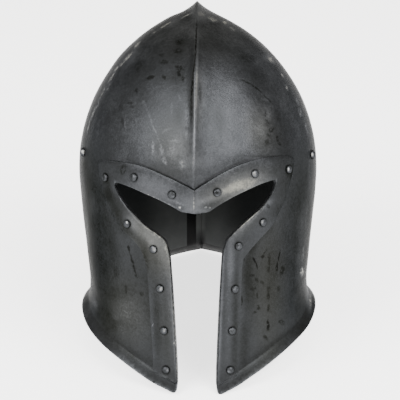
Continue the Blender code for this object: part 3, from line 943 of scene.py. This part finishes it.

# Where the blackening is worn through: scuffs, scratches and polished spots, with painted glints
# of the lamps along the outline and on the right flare
SKULL_RUBS_AND_GLINTS = [
    # x, y, length, width, turn, strength
    (143.8, 102.8, 6, 3.5, 70, 0.1), (148, 112, 22, 1.6, 68, 0.08), (154, 128, 22, 1.6, 68, 0.09),
    (160, 144, 18, 1.6, 66, 0.07), (161.6, 150.2, 9, 3, 82, 0.16), (164.7, 161.4, 8, 3.5, 64, 0.2),
    (153, 148.2, 12, 3, 88, 0.18), (148.9, 146, 6, 1.8, 85, 0.08), (182, 151, 13, 6, 80, 0.04),
    (182, 164.5, 8, 6, 90, 0.15), (174.9, 141, 9, 3, 5, 0.12), (172, 152, 14, 9, 90, 0.09),
    (166.7, 129.8, 9, 2, -20, 0.08), (179.5, 97, 7, 2.2, 72, 0.1), (171.8, 109, 12, 2, 92, 0.06),
    (186.5, 134, 7, 2.5, 90, 0.1), (124.9, 123, 9, 1.6, 90, 0.1), (136, 121, 8, 1.8, 84, 0.07),
    (268.6, 115, 9, 5, 75, 0.12), (261, 130, 16, 9, 80, 0.08), (254.6, 244, 8, 1.6, -42, 0.12),
    (262.3, 234.4, 8, 1.6, -48, 0.12), (247, 255, 6, 1.5, -50, 0.08),
    (302.2, 272, 8.5, 3.2, 92, 0.45), (134, 316, 52, 26, 68, 0.08), (136, 320, 9, 3, 50, 0.12),
    (131, 306, 9, 6, 30, 0.1), (122, 328, 12, 8, 60, 0.1), (116, 318, 8, 5, 60, 0.08),
    (164, 27, 60, 3.4, -30, 0.1), (130, 54.8, 50, 4, -45, 0.1), (107, 87, 50, 4, -61, 0.1),
    (92.5, 126, 50, 3.6, -75, 0.1), (231, 26.2, 50, 3.6, 31, 0.08), (264, 50.5, 40, 3.6, 45, 0.08),
    (289, 84, 50, 4, 58, 0.1), (305.5, 124, 50, 4, 73, 0.1), (309.6, 174, 50, 3.4, 90, 0.1),
    (306.6, 222, 60, 3.2, 93, 0.07), (186.5, 15.4, 13, 1.6, -27, 0.4),
    (164.5, 25.6, 13, 1.8, -27, 0.46), (155, 32, 9, 1.6, -32, 0.3),
    (137.4, 44.6, 9, 2.2, -46, 0.48), (127.6, 57.4, 13, 2.2, -44, 0.48),
    (122.6, 63, 12, 1.6, -48, 0.34), (117, 68, 12, 1.6, -52, 0.42),
    (111.4, 77.6, 14, 1.8, -56, 0.44), (108.4, 87.4, 12, 1.4, -60, 0.26),
    (102.2, 93, 16, 1.5, -62, 0.4), (97.8, 104.4, 13, 1.4, -68, 0.32),
    (93.2, 113.4, 16, 1.6, -70, 0.46), (88.6, 126, 16, 1.5, -76, 0.38),
    (84, 190, 30, 1.6, 88, 0.1), (87.4, 228, 26, 1.4, 88, 0.14), (213, 19.4, 10, 4.6, 20, 0.28),
    (225.8, 22.6, 5, 2, 20, 0.56), (233, 29, 9, 3, 30, 0.2), (271.8, 60.4, 8, 4.4, 50, 0.28),
    (282.6, 75.6, 6, 2.4, 54, 0.34), (286.8, 87.8, 6, 2.4, 60, 0.3), (297.6, 102, 8, 2, 66, 0.3),
    (300.2, 112.4, 9, 3.4, 74, 0.26), (306.4, 128, 13, 2, 76, 0.26), (303.4, 254, 16, 2, 95, 0.18),
    (94.5, 302, 12, 5, 70, 0.18), (310.4, 300, 18, 2.6, 90, 0.24),
]

# Where the steel is browner
SKULL_WARM = [
    # x, y, length, width, turn, strength
    (174, 150, 50, 36, 80, 0.5), (262, 130, 44, 26, 80, 0.7), (268, 290, 110, 26, 90, 0.8),
    (196, 100, 60, 12, 90, 0.4), (122, 312, 60, 44, 70, 0.8), (86, 230, 160, 16, 90, 0.7),
    (306, 240, 160, 20, 90, 0.5), (196, 30, 120, 50, 0, 0.6),
]

# Dark pits, stains and streaks where the blackening is thickest, with painted shade in the crease
# left of the keel and in the gaps beside the border plate's cheeks
SKULL_STAINS_AND_SHADE = [
    # x, y, length, width, turn, strength
    (150.4, 77.8, 8, 4, -24, 0.22), (163.7, 77.2, 5.5, 3, 60, 0.2), (179, 67, 8, 3, 8, 0.2),
    (181, 69.2, 8, 2, 2, 0.2), (179, 73.2, 6.5, 4, 90, 0.22), (183, 78.8, 5, 3, 90, 0.16),
    (178, 51.2, 9, 5, 0, 0.16), (179, 42, 8, 6, 0, 0.14), (163.7, 62, 8, 5, 0, 0.16),
    (161.6, 55.3, 5, 4, 0, 0.14), (139.2, 65.5, 14, 8, -30, 0.12), (136.6, 90.5, 5.5, 3, 90, 0.16),
    (130, 103.3, 5, 2.6, -10, 0.18), (120.8, 108.4, 7, 4, 90, 0.1),
    (122.6, 121.6, 7, 2.5, 90, 0.16), (132, 106.5, 4, 3, 0, 0.1), (196, 42, 40, 1.6, 92, 0.34),
    (194.2, 66, 22, 1.8, 97, 0.26), (192.2, 88, 26, 2.4, 94, 0.3), (191.2, 108, 24, 2.6, 91, 0.2),
    (199.8, 94, 20, 4, 88, 0.1), (245.4, 81.6, 12, 1.8, 22, 0.22),
    (256.6, 88.4, 13, 1.8, 38, 0.24), (267.4, 98.6, 15, 1.6, 46, 0.18),
    (265.5, 113.5, 7, 1.6, 96, 0.18), (267.5, 121.6, 6, 1.6, 50, 0.16), (266, 103, 9, 4, 20, 0.1),
    (271.6, 129.8, 6, 4, -50, 0.2), (268.6, 135, 4, 3, 0, 0.16), (267, 142, 6, 4, 90, 0.2),
    (277.2, 138, 7, 2.4, 80, 0.18), (279.3, 144, 4, 2.2, 60, 0.18), (277.8, 115.5, 11, 6, 80, 0.1),
    (247, 58.4, 15, 8, 10, 0.1), (129, 248.5, 6, 2.2, 70, 0.22), (131, 256, 16, 1.2, 72, 0.14),
    (132.3, 261.2, 6, 2.4, 74, 0.2), (134.2, 268.2, 7, 2.4, 74, 0.22),
    (136.8, 276.5, 4, 2.2, 40, 0.19), (135.6, 272, 10, 1, 72, 0.13),
    (125.9, 289.3, 10, 2, 86, 0.1), (141.2, 293.7, 5, 3, 40, 0.1), (122.7, 228.7, 4, 3, 60, 0.14),
    (134.8, 234.4, 7, 2.2, 86, 0.12), (121.5, 209.6, 5, 3, 60, 0.17), (116, 272, 12, 5, 80, 0.06),
    (254.4, 260.4, 7, 1.8, 62, 0.24), (256.6, 265.4, 7, 1.8, 74, 0.26),
    (262.6, 256.8, 4, 3, -60, 0.2), (264.8, 252.6, 8, 1.6, -60, 0.13),
    (278.9, 256.6, 11, 1.6, 98, 0.22), (277, 267.4, 12, 1.9, 96, 0.2),
    (282.2, 271, 10, 3.6, 105, 0.13), (269.2, 259.6, 12, 2.4, 90, 0.12),
    (257.6, 295.4, 7, 2, 90, 0.11), (256.8, 280.4, 5, 3, 60, 0.11), (255.4, 288.6, 4, 2, 60, 0.1),
    (268.4, 296, 8, 2.6, 90, 0.12), (252, 275.3, 5, 2.6, 0, 0.14), (252, 289.3, 4, 4, 0, 0.1),
    (258.5, 307.8, 5, 3.2, 70, 0.14), (255.4, 311.9, 5.6, 2.8, -30, 0.16),
    (268.5, 308.5, 7, 2.6, 95, 0.13), (268, 325.4, 10, 2.8, 90, 0.27),
    (265.4, 337.3, 5, 3.6, 60, 0.14), (281.6, 322.3, 6, 5, 40, 0.13),
    (278.9, 289.3, 6, 3, 90, 0.09), (268.7, 268.9, 6, 3, 90, 0.1), (268.7, 289.3, 6, 3, 90, 0.1),
    (262, 282, 5, 3, 40, 0.09), (268, 206.4, 4, 3, 40, 0.17), (241.9, 300.8, 10, 1.6, 92, 0.17),
    (243.8, 257.4, 7, 1.6, 92, 0.16), (157, 305, 8, 1.6, 90, 0.14),
]


# Rivets through the border plate, seen from the front
BORDER_RIVETS = [
    # name, x, height
    ("rivet_brow_left_1", -0.0184, 0.1718),
    ("rivet_brow_left_2", -0.0509, 0.1841),
    ("rivet_brow_left_3", -0.0768, 0.1812),
    ("rivet_brow_right_1", 0.0182, 0.1737),
    ("rivet_brow_right_2", 0.0496, 0.1871),
    ("rivet_brow_right_3", 0.0785, 0.1876),
    ("rivet_cheek_left_1", -0.0575, 0.1432),
    ("rivet_cheek_left_2", -0.0348, 0.1235),
    ("rivet_cheek_left_3", -0.0296, 0.0893),
    ("rivet_cheek_left_4", -0.0266, 0.0520),
    ("rivet_cheek_left_5", -0.0254, 0.0165),
    ("rivet_cheek_right_1", 0.0566, 0.1445),
    ("rivet_cheek_right_2", 0.0359, 0.1261),
    ("rivet_cheek_right_3", 0.0329, 0.0884),
    ("rivet_cheek_right_4", 0.0302, 0.0514),
    ("rivet_cheek_right_5", 0.0286, 0.0160),
]

# Rivets high on the sides of the skull
SIDE_RIVETS = [
    # name, angle from the front, height
    ("rivet_side_left", -69.5, 0.1985),
    ("rivet_side_right", 71, 0.1955),
]
RIVET_SIDES = 8
HOLE_RADIUS = 0.0019

border_places = [flat_from_front(x, height) for _, x, height in BORDER_RIVETS]
side_places = [flat_from_level(math.radians(turn), height) for _, turn, height in SIDE_RIVETS]
border_holes = [ring(flat, HOLE_RADIUS, RIVET_SIDES) for flat in border_places]
skull_holes = border_holes + [ring(flat, HOLE_RADIUS, RIVET_SIDES) for flat in side_places]

skull_edge = skull_outline()
skull_rows = flare_rows(SKULL_SPACING) + keel_rows(SKULL_SPACING)
skull_rows += rivet_rings(side_places)
skull_mesh = formed_sheet("helmet_skull", spaced(skull_edge, SKULL_SPACING * OUTLINE_SHARE),
                          skull_holes, skull_rows, SKULL_SPACING, -SKULL_THICKNESS, 0)
note_distance(skull_mesh, "edge", placed(spaced(skull_edge, EDGE_STEP)))
note_distance(skull_mesh, "rivet", placed(border_places + side_places))
skull_steel = blackened_steel("blackened steel", 0.44, SKULL_TONE_AND_LIGHT, SKULL_RUBS_AND_GLINTS, SKULL_STAINS_AND_SHADE,
                              SKULL_WARM)
finish_sheet("helmet_skull", skull_mesh, ["skull"], skull_steel)


# The face border
#
# A narrow plate of the same steel, shaped to the skull and riveted round the face opening. Its
# edges and its knees are brighter than the skull, partly worn and partly painted highlights where
# the light catches them.

# Outer edge of the border plate, seen from the front, with its left twin as for the opening
BORDER_EDGE = [
    # x, height, left_out, left_drop, corner radius
    (0.0000, 0.1765, 0.0000, 0.0000, 0.000),
    (0.0250, 0.1905, 0.0000, 0.0033, 0.040),
    (0.0460, 0.1977, 0.0000, 0.0035, 0.040),
    (0.0640, 0.1996, 0.0000, 0.0039, 0.040),
    (0.0840, 0.1971, 0.0000, 0.0031, 0.004),
    (0.0818, 0.1830, 0.0010, 0.0000, 0.030),
    (0.0756, 0.1610, 0.0029, 0.0000, 0.030),
    (0.0639, 0.1400, 0.0031, -0.0010, 0.030),
    (0.0392, 0.1150, 0.0078, -0.0080, 0.006),
    (0.0379, 0.1060, 0.0038, -0.0020, 0.020),
    (0.0370, 0.0800, 0.0030, 0.0000, 0.040),
    (0.0352, 0.0100, 0.0026, 0.0000, 0.000),
]

# Broad paler (+) and darker (-) areas of the border in the front view: painted highlights on its
# edges and knees, painted shadow lines at its feet and painted dark reflection at its right end,
# besides its tone
BORDER_TONE_AND_LIGHT = [
    # x, y, length, width, turn, strength
    (236, 190, 66, 18, -22, 0.34), (217, 203.5, 38, 9, -27, -0.16), (232, 187, 24, 9, -24, 0.12),
    (199, 210.5, 22, 6, 0, 0.15), (204, 196, 12, 8, 0, -0.08), (206, 205.5, 20, 6, -18, -0.1),
    (268, 164, 16, 8, 0, 0.09), (128, 231, 22, 7, 45, -0.12), (108, 196, 12, 8, 60, -0.09),
    (292, 172, 12, 8, 90, -0.1), (132, 165, 16, 6, 15, 0.08), (239.8, 300, 100, 4.5, 91.6, 0.12),
    (268.5, 204, 13, 5, 126, 0.14), (116, 188, 14, 8, 66, 0.16), (132, 220, 16, 9, 50, 0.14),
    (142, 235, 34, 8, 42, 0.12), (152, 246, 12, 8, 70, 0.08), (156.5, 318, 74, 7, 88, -0.13),
    (196, 189, 14, 10, 0, 0.1), (226, 176.5, 46, 10, -27, 0.09), (174.8, 325, 140, 4, 87, 0.24),
    (220.4, 316, 150, 4, 92.7, 0.18), (292, 185, 64, 40, 90, -0.14), (154, 187, 42, 20, 20, 0.22),
    (110, 178, 40, 22, 90, -0.08), (114, 200, 50, 16, 62, -0.14), (192, 202, 36, 16, 0, 0.16),
    (158, 240, 44, 16, 62, 0.15), (147, 232, 34, 11, 38, 0.1), (246, 176, 28, 12, -20, 0.1),
    (116, 215, 28, 10, 62, -0.1), (277, 212, 16, 9, 120, -0.1), (145, 258, 50, 9, 80, -0.1),
    (171, 308, 100, 7, 88, 0.11), (229.5, 304, 110, 7, 91, 0.15), (165, 258, 44, 12, 86, 0.08),
    (168, 345, 90, 16, 88, -0.08), (237, 320, 120, 22, 91, -0.17), (242, 222, 52, 12, -44, 0.12),
    (237, 231, 16, 12, -44, 0.1), (232, 262, 40, 8, 92, 0.1), (165.3, 382.2, 15, 1.8, 40, -0.34),
    (229.5, 382.6, 20, 1.8, -29, -0.34), (117.9, 190.8, 18, 1.4, 72, 0.26),
    (122.9, 202.1, 15, 1.4, 58, 0.22), (131.2, 213.4, 21, 1.4, 51, 0.12),
    (141.7, 224, 17, 1.4, 39, 0.08), (273.8, 187.5, 16, 1.8, 110, 0.24),
    (267.5, 199.2, 18, 1.8, 126, 0.28), (257.5, 210.9, 20, 1.8, 135, 0.3),
    (244.2, 222.9, 23, 1.8, 141, 0.26), (118, 160.8, 40, 1.8, 3, 0.2),
]

# Where the border's blackening is worn through, and painted glints along the brow's lower edge
BORDER_RUBS_AND_GLINTS = [
    # x, y, length, width, turn, strength
    (247, 185, 24, 6, -20, 0.05), (176, 202.2, 20, 2.2, 22, 0.12),
    (152, 197.1, 56, 1.6, 23.5, 0.2), (193.8, 203, 16, 1.4, 90, 0.14),
    (179.6, 207.4, 3, 2.2, 0, 0.4), (206, 207.4, 2.4, 1.8, 0, 0.34),
    (209.6, 208, 2.4, 1.8, 0, 0.3), (152.7, 323.7, 5, 1, 82, 0.26), (153, 332.6, 3, 1, 86, 0.22),
    (173.6, 322.4, 2.4, 1.2, 90, 0.3), (174, 343, 2.4, 1.2, 90, 0.3), (152, 231, 26, 5, 34, 0.12),
    (166.5, 250, 30, 3, 76, 0.12), (256, 214, 30, 4, -46, 0.14), (240, 228, 26, 3, -42, 0.14),
    (123.4, 169.6, 6.5, 2.4, -70, 0.2),
]

# Stains on the border, and a painted shadow line at the foot of its left cheek
BORDER_STAINS_AND_SHADOW = [
    # x, y, length, width, turn, strength
    (123.4, 169.6, 10, 5.4, -70, 0.2), (144, 262, 22, 8, 80, 0.1), (144, 285, 30, 9, 88, 0.08),
    (268, 206, 4, 3, 60, 0.2), (165, 381, 12, 1.8, 38, 0.26),
]

BORDER_WARM = [
    # x, y, length, width, turn, strength
    (236, 188, 64, 24, -22, 1), (156, 242, 70, 38, 62, 1.3), (168, 320, 100, 16, 88, 0.4),
    (245, 222, 40, 16, -44, 0.5),
]
BORDER_THICKNESS = 0.0012
PLATE_GAP = 0.0004
FOOT_RADIUS = 0.0015
BORDER_FOOT = LIP_DROP - 0.0010
BORDER_SPACING = 0.0026


def border_outline():
    """Outline of the border plate's pattern: the face opening inside, BORDER_EDGE outside."""
    inner_right, inner_left = face_rows(FACE_OPENING)
    outer_right, outer_left = face_rows(BORDER_EDGE)
    foot_x, _, left_out, _, _ = BORDER_EDGE[-1]

    def foot(x, side):
        angle = side * foot_angle(x, BORDER_FOOT)
        return (edge_flat(angle, BORDER_FOOT), FOOT_RADIUS)

    corners = [foot(FACE_OPENING[0][0] + SLOT_SHIFT, 1)] + inner_right[1:]
    corners += inner_left[:0:-1] + [foot(FACE_OPENING[0][0] - SLOT_SHIFT, -1)]
    corners += [foot(foot_x + left_out - SLOT_SHIFT, -1)] + outer_left[-2::-1]
    corners += outer_right[:-1] + [foot(foot_x + SLOT_SHIFT, 1)]
    return rounded(corners)


border_edge = border_outline()
border_rows = keel_rows(BORDER_SPACING) + rivet_rings(border_places)
border_mesh = formed_sheet("helmet_face_border",
                           spaced(border_edge, BORDER_SPACING * OUTLINE_SHARE), border_holes,
                           border_rows, BORDER_SPACING, PLATE_GAP, PLATE_GAP + BORDER_THICKNESS)
note_distance(border_mesh, "edge", placed(spaced(border_edge, EDGE_STEP), PLATE_GAP))
note_distance(border_mesh, "rivet", placed(border_places, PLATE_GAP))
border_steel = blackened_steel("worn border steel", 0.47, BORDER_TONE_AND_LIGHT, BORDER_RUBS_AND_GLINTS,
                               BORDER_STAINS_AND_SHADOW, BORDER_WARM)
finish_sheet("helmet_face_border", border_mesh, ["face_border"], border_steel)


# The rivets
#
# Round-headed steel rivets, hammered over by hand: those of the border plate, and one high on
# each side of the skull. Their tails are flat inside.

RIVET_GAP = 0.0003
RIVET_SIZES = {
    "Head radius": 0.0036,
    "Head height": 0.0021,
    "Head level": PLATE_GAP + BORDER_THICKNESS + RIVET_GAP,
    "Shank radius": 0.0015,
    "Tail radius": 0.0031,
    "Tail height": 0.0010,
    "Tail level": -SKULL_THICKNESS - RIVET_GAP,
}
SIDE_HEAD = {"Head level": RIVET_GAP, "Head radius": 0.0041, "Head height": 0.0028}
HEAD_SIDES = 24
HEAD_RINGS = 16
HEAD_MERGE = 0.02
SHANK_SIDES = 16
CREASE_ANGLE = math.radians(50)


def rivet_tree():
    """Geometry nodes that stand a rivet on each point of a mesh, along its "out" attribute."""
    tree = bpy.data.node_groups.new("Rivets", 'GeometryNodeTree')
    wiring, sockets = Wiring(tree), {}
    node = wiring.node

    def socket(name, kind, way='INPUT'):
        made = tree.interface.new_socket(name, in_out=way, socket_type='NodeSocket' + kind)
        sockets[name] = made.identifier
        return made

    def given(name):
        return node('NodeGroupInput', {}, (), name)

    def joined(*parts):
        whole = tree.nodes.new('GeometryNodeJoinGeometry')
        for part in parts:
            tree.links.new(part.socket, whole.inputs[0])
        return Signal(wiring, whole.outputs[0])

    def combined(x, y, z):
        return node('ShaderNodeCombineXYZ', {}, (x, y, z))

    def turned(radius, bottom, height):
        """An upright cylinder from a level, its height above it."""
        form = node('GeometryNodeMeshCylinder', {},
                    {"Vertices": SHANK_SIDES, "Radius": radius, "Depth": height})
        middle = combined(0.0, 0.0, bottom + height * 0.5)
        return node('GeometryNodeTransform', {}, {"Geometry": form, "Translation": middle})

    socket("Geometry", 'Geometry')
    for name, size in RIVET_SIZES.items():
        socket(name, 'Float').default_value = size
    socket("Steel", 'Material')
    socket("Rivets", 'Geometry', 'OUTPUT')

    ball = node('GeometryNodeMeshUVSphere', {},
                {"Segments": HEAD_SIDES, "Rings": HEAD_RINGS, "Radius": 1.0})
    height = wiring.part(node('GeometryNodeInputPosition', {}, ()), "Z")
    low = node('FunctionNodeCompare', {"operation": 'LESS_THAN'},
               {"A": height, "B": -HEAD_MERGE / 2})
    dome = node('GeometryNodeDeleteGeometry', {"domain": 'POINT'},
                {"Geometry": ball, "Selection": low})
    dome = node('GeometryNodeStoreNamedAttribute', {},
                {"Geometry": dome, "Name": "crown", "Value": height})
    base = node('GeometryNodeMeshCircle', {"fill_type": 'NGON'},
                {"Vertices": HEAD_SIDES, "Radius": 1.0})
    base = node('GeometryNodeFlipFaces', {}, (base,))
    head = node('GeometryNodeMergeByDistance', {},
                {"Geometry": joined(dome, base), "Distance": HEAD_MERGE})
    wide = given("Head radius")
    head = node('GeometryNodeTransform', {},
                {"Geometry": head, "Scale": combined(wide, wide, given("Head height")),
                 "Translation": combined(0.0, 0.0, given("Head level"))})
    bottom, tail_height = given("Tail level"), given("Tail height")
    shank = turned(given("Shank radius"), bottom, given("Head level") - bottom)
    tail = turned(given("Tail radius"), bottom - tail_height, tail_height)

    out = node('GeometryNodeInputNamedAttribute', {"data_type": 'FLOAT_VECTOR'}, {"Name": "out"})
    align = node('FunctionNodeAlignRotationToVector', {"axis": 'Z'}, {"Vector": out})
    stand = node('GeometryNodeInstanceOnPoints', {},
                 {"Points": given("Geometry"), "Instance": joined(head, shank, tail),
                  "Rotation": align})
    real = node('GeometryNodeRealizeInstances', {}, (stand,))
    painted = node('GeometryNodeSetMaterial', {}, {"Geometry": real, "Material": given("Steel")})
    smooth = node('GeometryNodeSetShadeSmooth', {}, {"Geometry": painted})
    tree.links.new(smooth.socket, tree.nodes.new('NodeGroupOutput').inputs[0])
    return tree, sockets


# Painted highlights (+) and painted shade (-) on the heads, in the front view
RIVET_HIGHLIGHTS_AND_SHADE = [
    # x, y, length, width, turn, strength
    (82.4, 151.6, 4, 2.8, 40, 0.55), (84.4, 152.2, 9, 2.8, 98, 0.5),
    (311.6, 154.6, 4.2, 3.2, 90, 0.6), (309.2, 154.6, 8, 2.2, 92, -0.2),
    (106.4, 176.8, 2.6, 2.2, 70, 0.16), (103.8, 177.4, 5, 2.4, 90, -0.2),
    (135, 177, 3.4, 3, 0, 0.2), (131.8, 177.6, 5, 2, 90, -0.16),
    (173.4, 196.4, 3.4, 2.4, 10, 0.14), (170.8, 192.4, 5, 3, 20, -0.12),
    (127, 222.4, 3, 2.4, 70, 0.4), (154.4, 249.4, 5, 4, 60, 0.34), (161, 288.8, 4, 2.8, -60, 0.44),
    (164.4, 330.4, 4, 2.8, -60, 0.34), (167.2, 370.4, 2.8, 2.4, 0, 0.3),
    (164.6, 371.6, 5, 4, 0, -0.12), (288.4, 169.4, 3.4, 2, 90, 0.46),
    (285, 169.8, 5, 3.4, 90, -0.22), (262, 221.8, 3.6, 2.6, 90, 0.36),
    (259.4, 222.4, 5, 2.8, 90, -0.2), (253.8, 173.6, 5.4, 4.6, 70, 0.34),
    (216.8, 192.8, 2.8, 2.8, 0, -0.26), (214.2, 191.4, 4, 2, 110, 0.14),
    (216.8, 195.8, 4, 1.6, 0, 0.12), (237.4, 246, 2.4, 2.4, 0, -0.12),
    (238.6, 246.8, 2.6, 2, 0, 0.16), (234.4, 289.2, 2.8, 2.2, 0, 0.24),
    (229.8, 329.6, 3.4, 2.4, 0, 0.24), (228.6, 371.6, 3, 2.2, 0, 0.24),
]


def rivet_steel():
    steel = Finish("rivet steel")
    view = steel.attribute("chart", "Vector")
    crown = steel.attribute("crown")
    grain = steel.noise(0.0014, 3)
    # Each head is paler up its dome than at its foot: partly worn tops, partly painted shade at
    # the foot
    wear_and_light = grain * 0.3 + 0.15 + crown.between(0.15, 0.65) * 0.24
    wear_and_light = wear_and_light + steel.marks(view, RIVET_HIGHLIGHTS_AND_SHADE, 0.7, 'ADD')
    colour = steel.node('ShaderNodeValToRGB', {"stops": STEEL_TONES}, (wear_and_light,), "Color")
    steel.set(Base_Color=colour, Metallic=1.0, Specular_Tint=STEEL_TINT,
              Roughness=(grain - 0.5) * 0.2 + 0.46,
              Normal=steel.node('ShaderNodeBump', {},
                                {"Strength": 0.5, "Distance": 0.0005, "Height": grain}))
    return steel.material


def set_rivets(name, flats, nodes, sizes, tree, sockets, material):
    """Stand rivets on the skull's outer face and make them one plain mesh."""
    points = bpy.data.meshes.new(name + "_places")
    places, outs = [], []
    for flat in flats:
        out = skull_normal(flat).normalized()
        place = skull_place(flat)
        places.append(REST @ (place + out * hammered(place)))
        outs.append(REST.to_3x3() @ out)
    points.from_pydata(places, [], [])
    note(points, "out", outs)
    pattern = in_scene(name + "_pattern", points)
    maker = pattern.modifiers.new("Rivets", 'NODES')
    maker.node_group = tree
    for key, value in sizes.items():
        maker[sockets[key]] = value
    maker[sockets["Steel"]] = material
    depsgraph = bpy.context.evaluated_depsgraph_get()
    mesh = bpy.data.meshes.new_from_object(pattern.evaluated_get(depsgraph))
    mesh.name = name
    mesh.set_sharp_from_angle(angle=CREASE_ANGLE)
    worn = REST.inverted()
    note(mesh, "chart", [front_view(worn @ vert.co, worn.to_3x3() @ vert.normal)
                         for vert in mesh.vertices])
    bpy.data.objects.remove(pattern)
    piece = in_scene(name, mesh)
    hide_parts(*nodes)
    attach(piece, "root")


rivets, rivet_sockets = rivet_tree()
rivet_finish = rivet_steel()
set_rivets("helmet_border_rivets", border_places, [row[0] for row in BORDER_RIVETS], RIVET_SIZES,
           rivets, rivet_sockets, rivet_finish)
set_rivets("helmet_side_rivets", side_places, [row[0] for row in SIDE_RIVETS],
           {**RIVET_SIZES, **SIDE_HEAD}, rivets, rivet_sockets, rivet_finish)


# The studio
#
# A plain pale floor, wide soft lamps in front, and the camera at the front view's own place.

FLOOR_REACH = 4
floor_mesh = bpy.data.meshes.new("studio_floor")
floor_mesh.from_pydata([(x * FLOOR_REACH, y * FLOOR_REACH, 0)
                        for x, y in ((-1, -1), (1, -1), (1, 1), (-1, 1))], [], [(0, 1, 2, 3)])
floor = in_scene("studio_floor", floor_mesh)
floor.location.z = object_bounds()[0][2]
paper = Finish("pale floor")
paper.set(Base_Color=(0.86, 0.86, 0.86, 1), Roughness=0.9, Emission_Color=(1, 1, 1, 1),
          Emission_Strength=2.2)
floor_mesh.materials.append(paper.material)

LAMPS = [
    # name, place, size, power, aim
    ("left lamp", (-1.42, -0.95, 1.45), 1.4, 74, (0, 0, 0.18)),
    ("right lamp", (1.30, -1.00, 1.65), 1.5, 88, (0, 0, 0.18)),
]
for name, place, size, power, aim in LAMPS:
    lamp = bpy.data.lights.new(name, 'AREA')
    lamp.energy, lamp.size = power, size
    holder = in_scene(name, lamp)
    holder.location = place
    holder.rotation_euler = (Vector(aim) - Vector(place)).to_track_quat('-Z', 'Y').to_euler()

world = bpy.data.worlds.new("studio")
bpy.context.scene.world = world
world.use_nodes = True
sky = world.node_tree.nodes["Background"].inputs
sky["Color"].default_value = (0.92, 0.90, 0.86, 1)
sky["Strength"].default_value = 1.6

camera = bpy.data.cameras.new("front view")
camera_stand = in_scene("front view", camera)
camera_stand.matrix_world = REST @ VIEW
camera.sensor_fit = 'HORIZONTAL'
camera.sensor_width = 36
camera.lens = camera.sensor_width * VIEW_DISTANCE / VIEW_WIDTH
camera.shift_x = (VIEW_UNITS / 2 - VIEW_MIDDLE[0]) / VIEW_UNITS
camera.shift_y = (VIEW_MIDDLE[1] - VIEW_UNITS / 2) / VIEW_UNITS
bpy.context.scene.camera = camera_stand
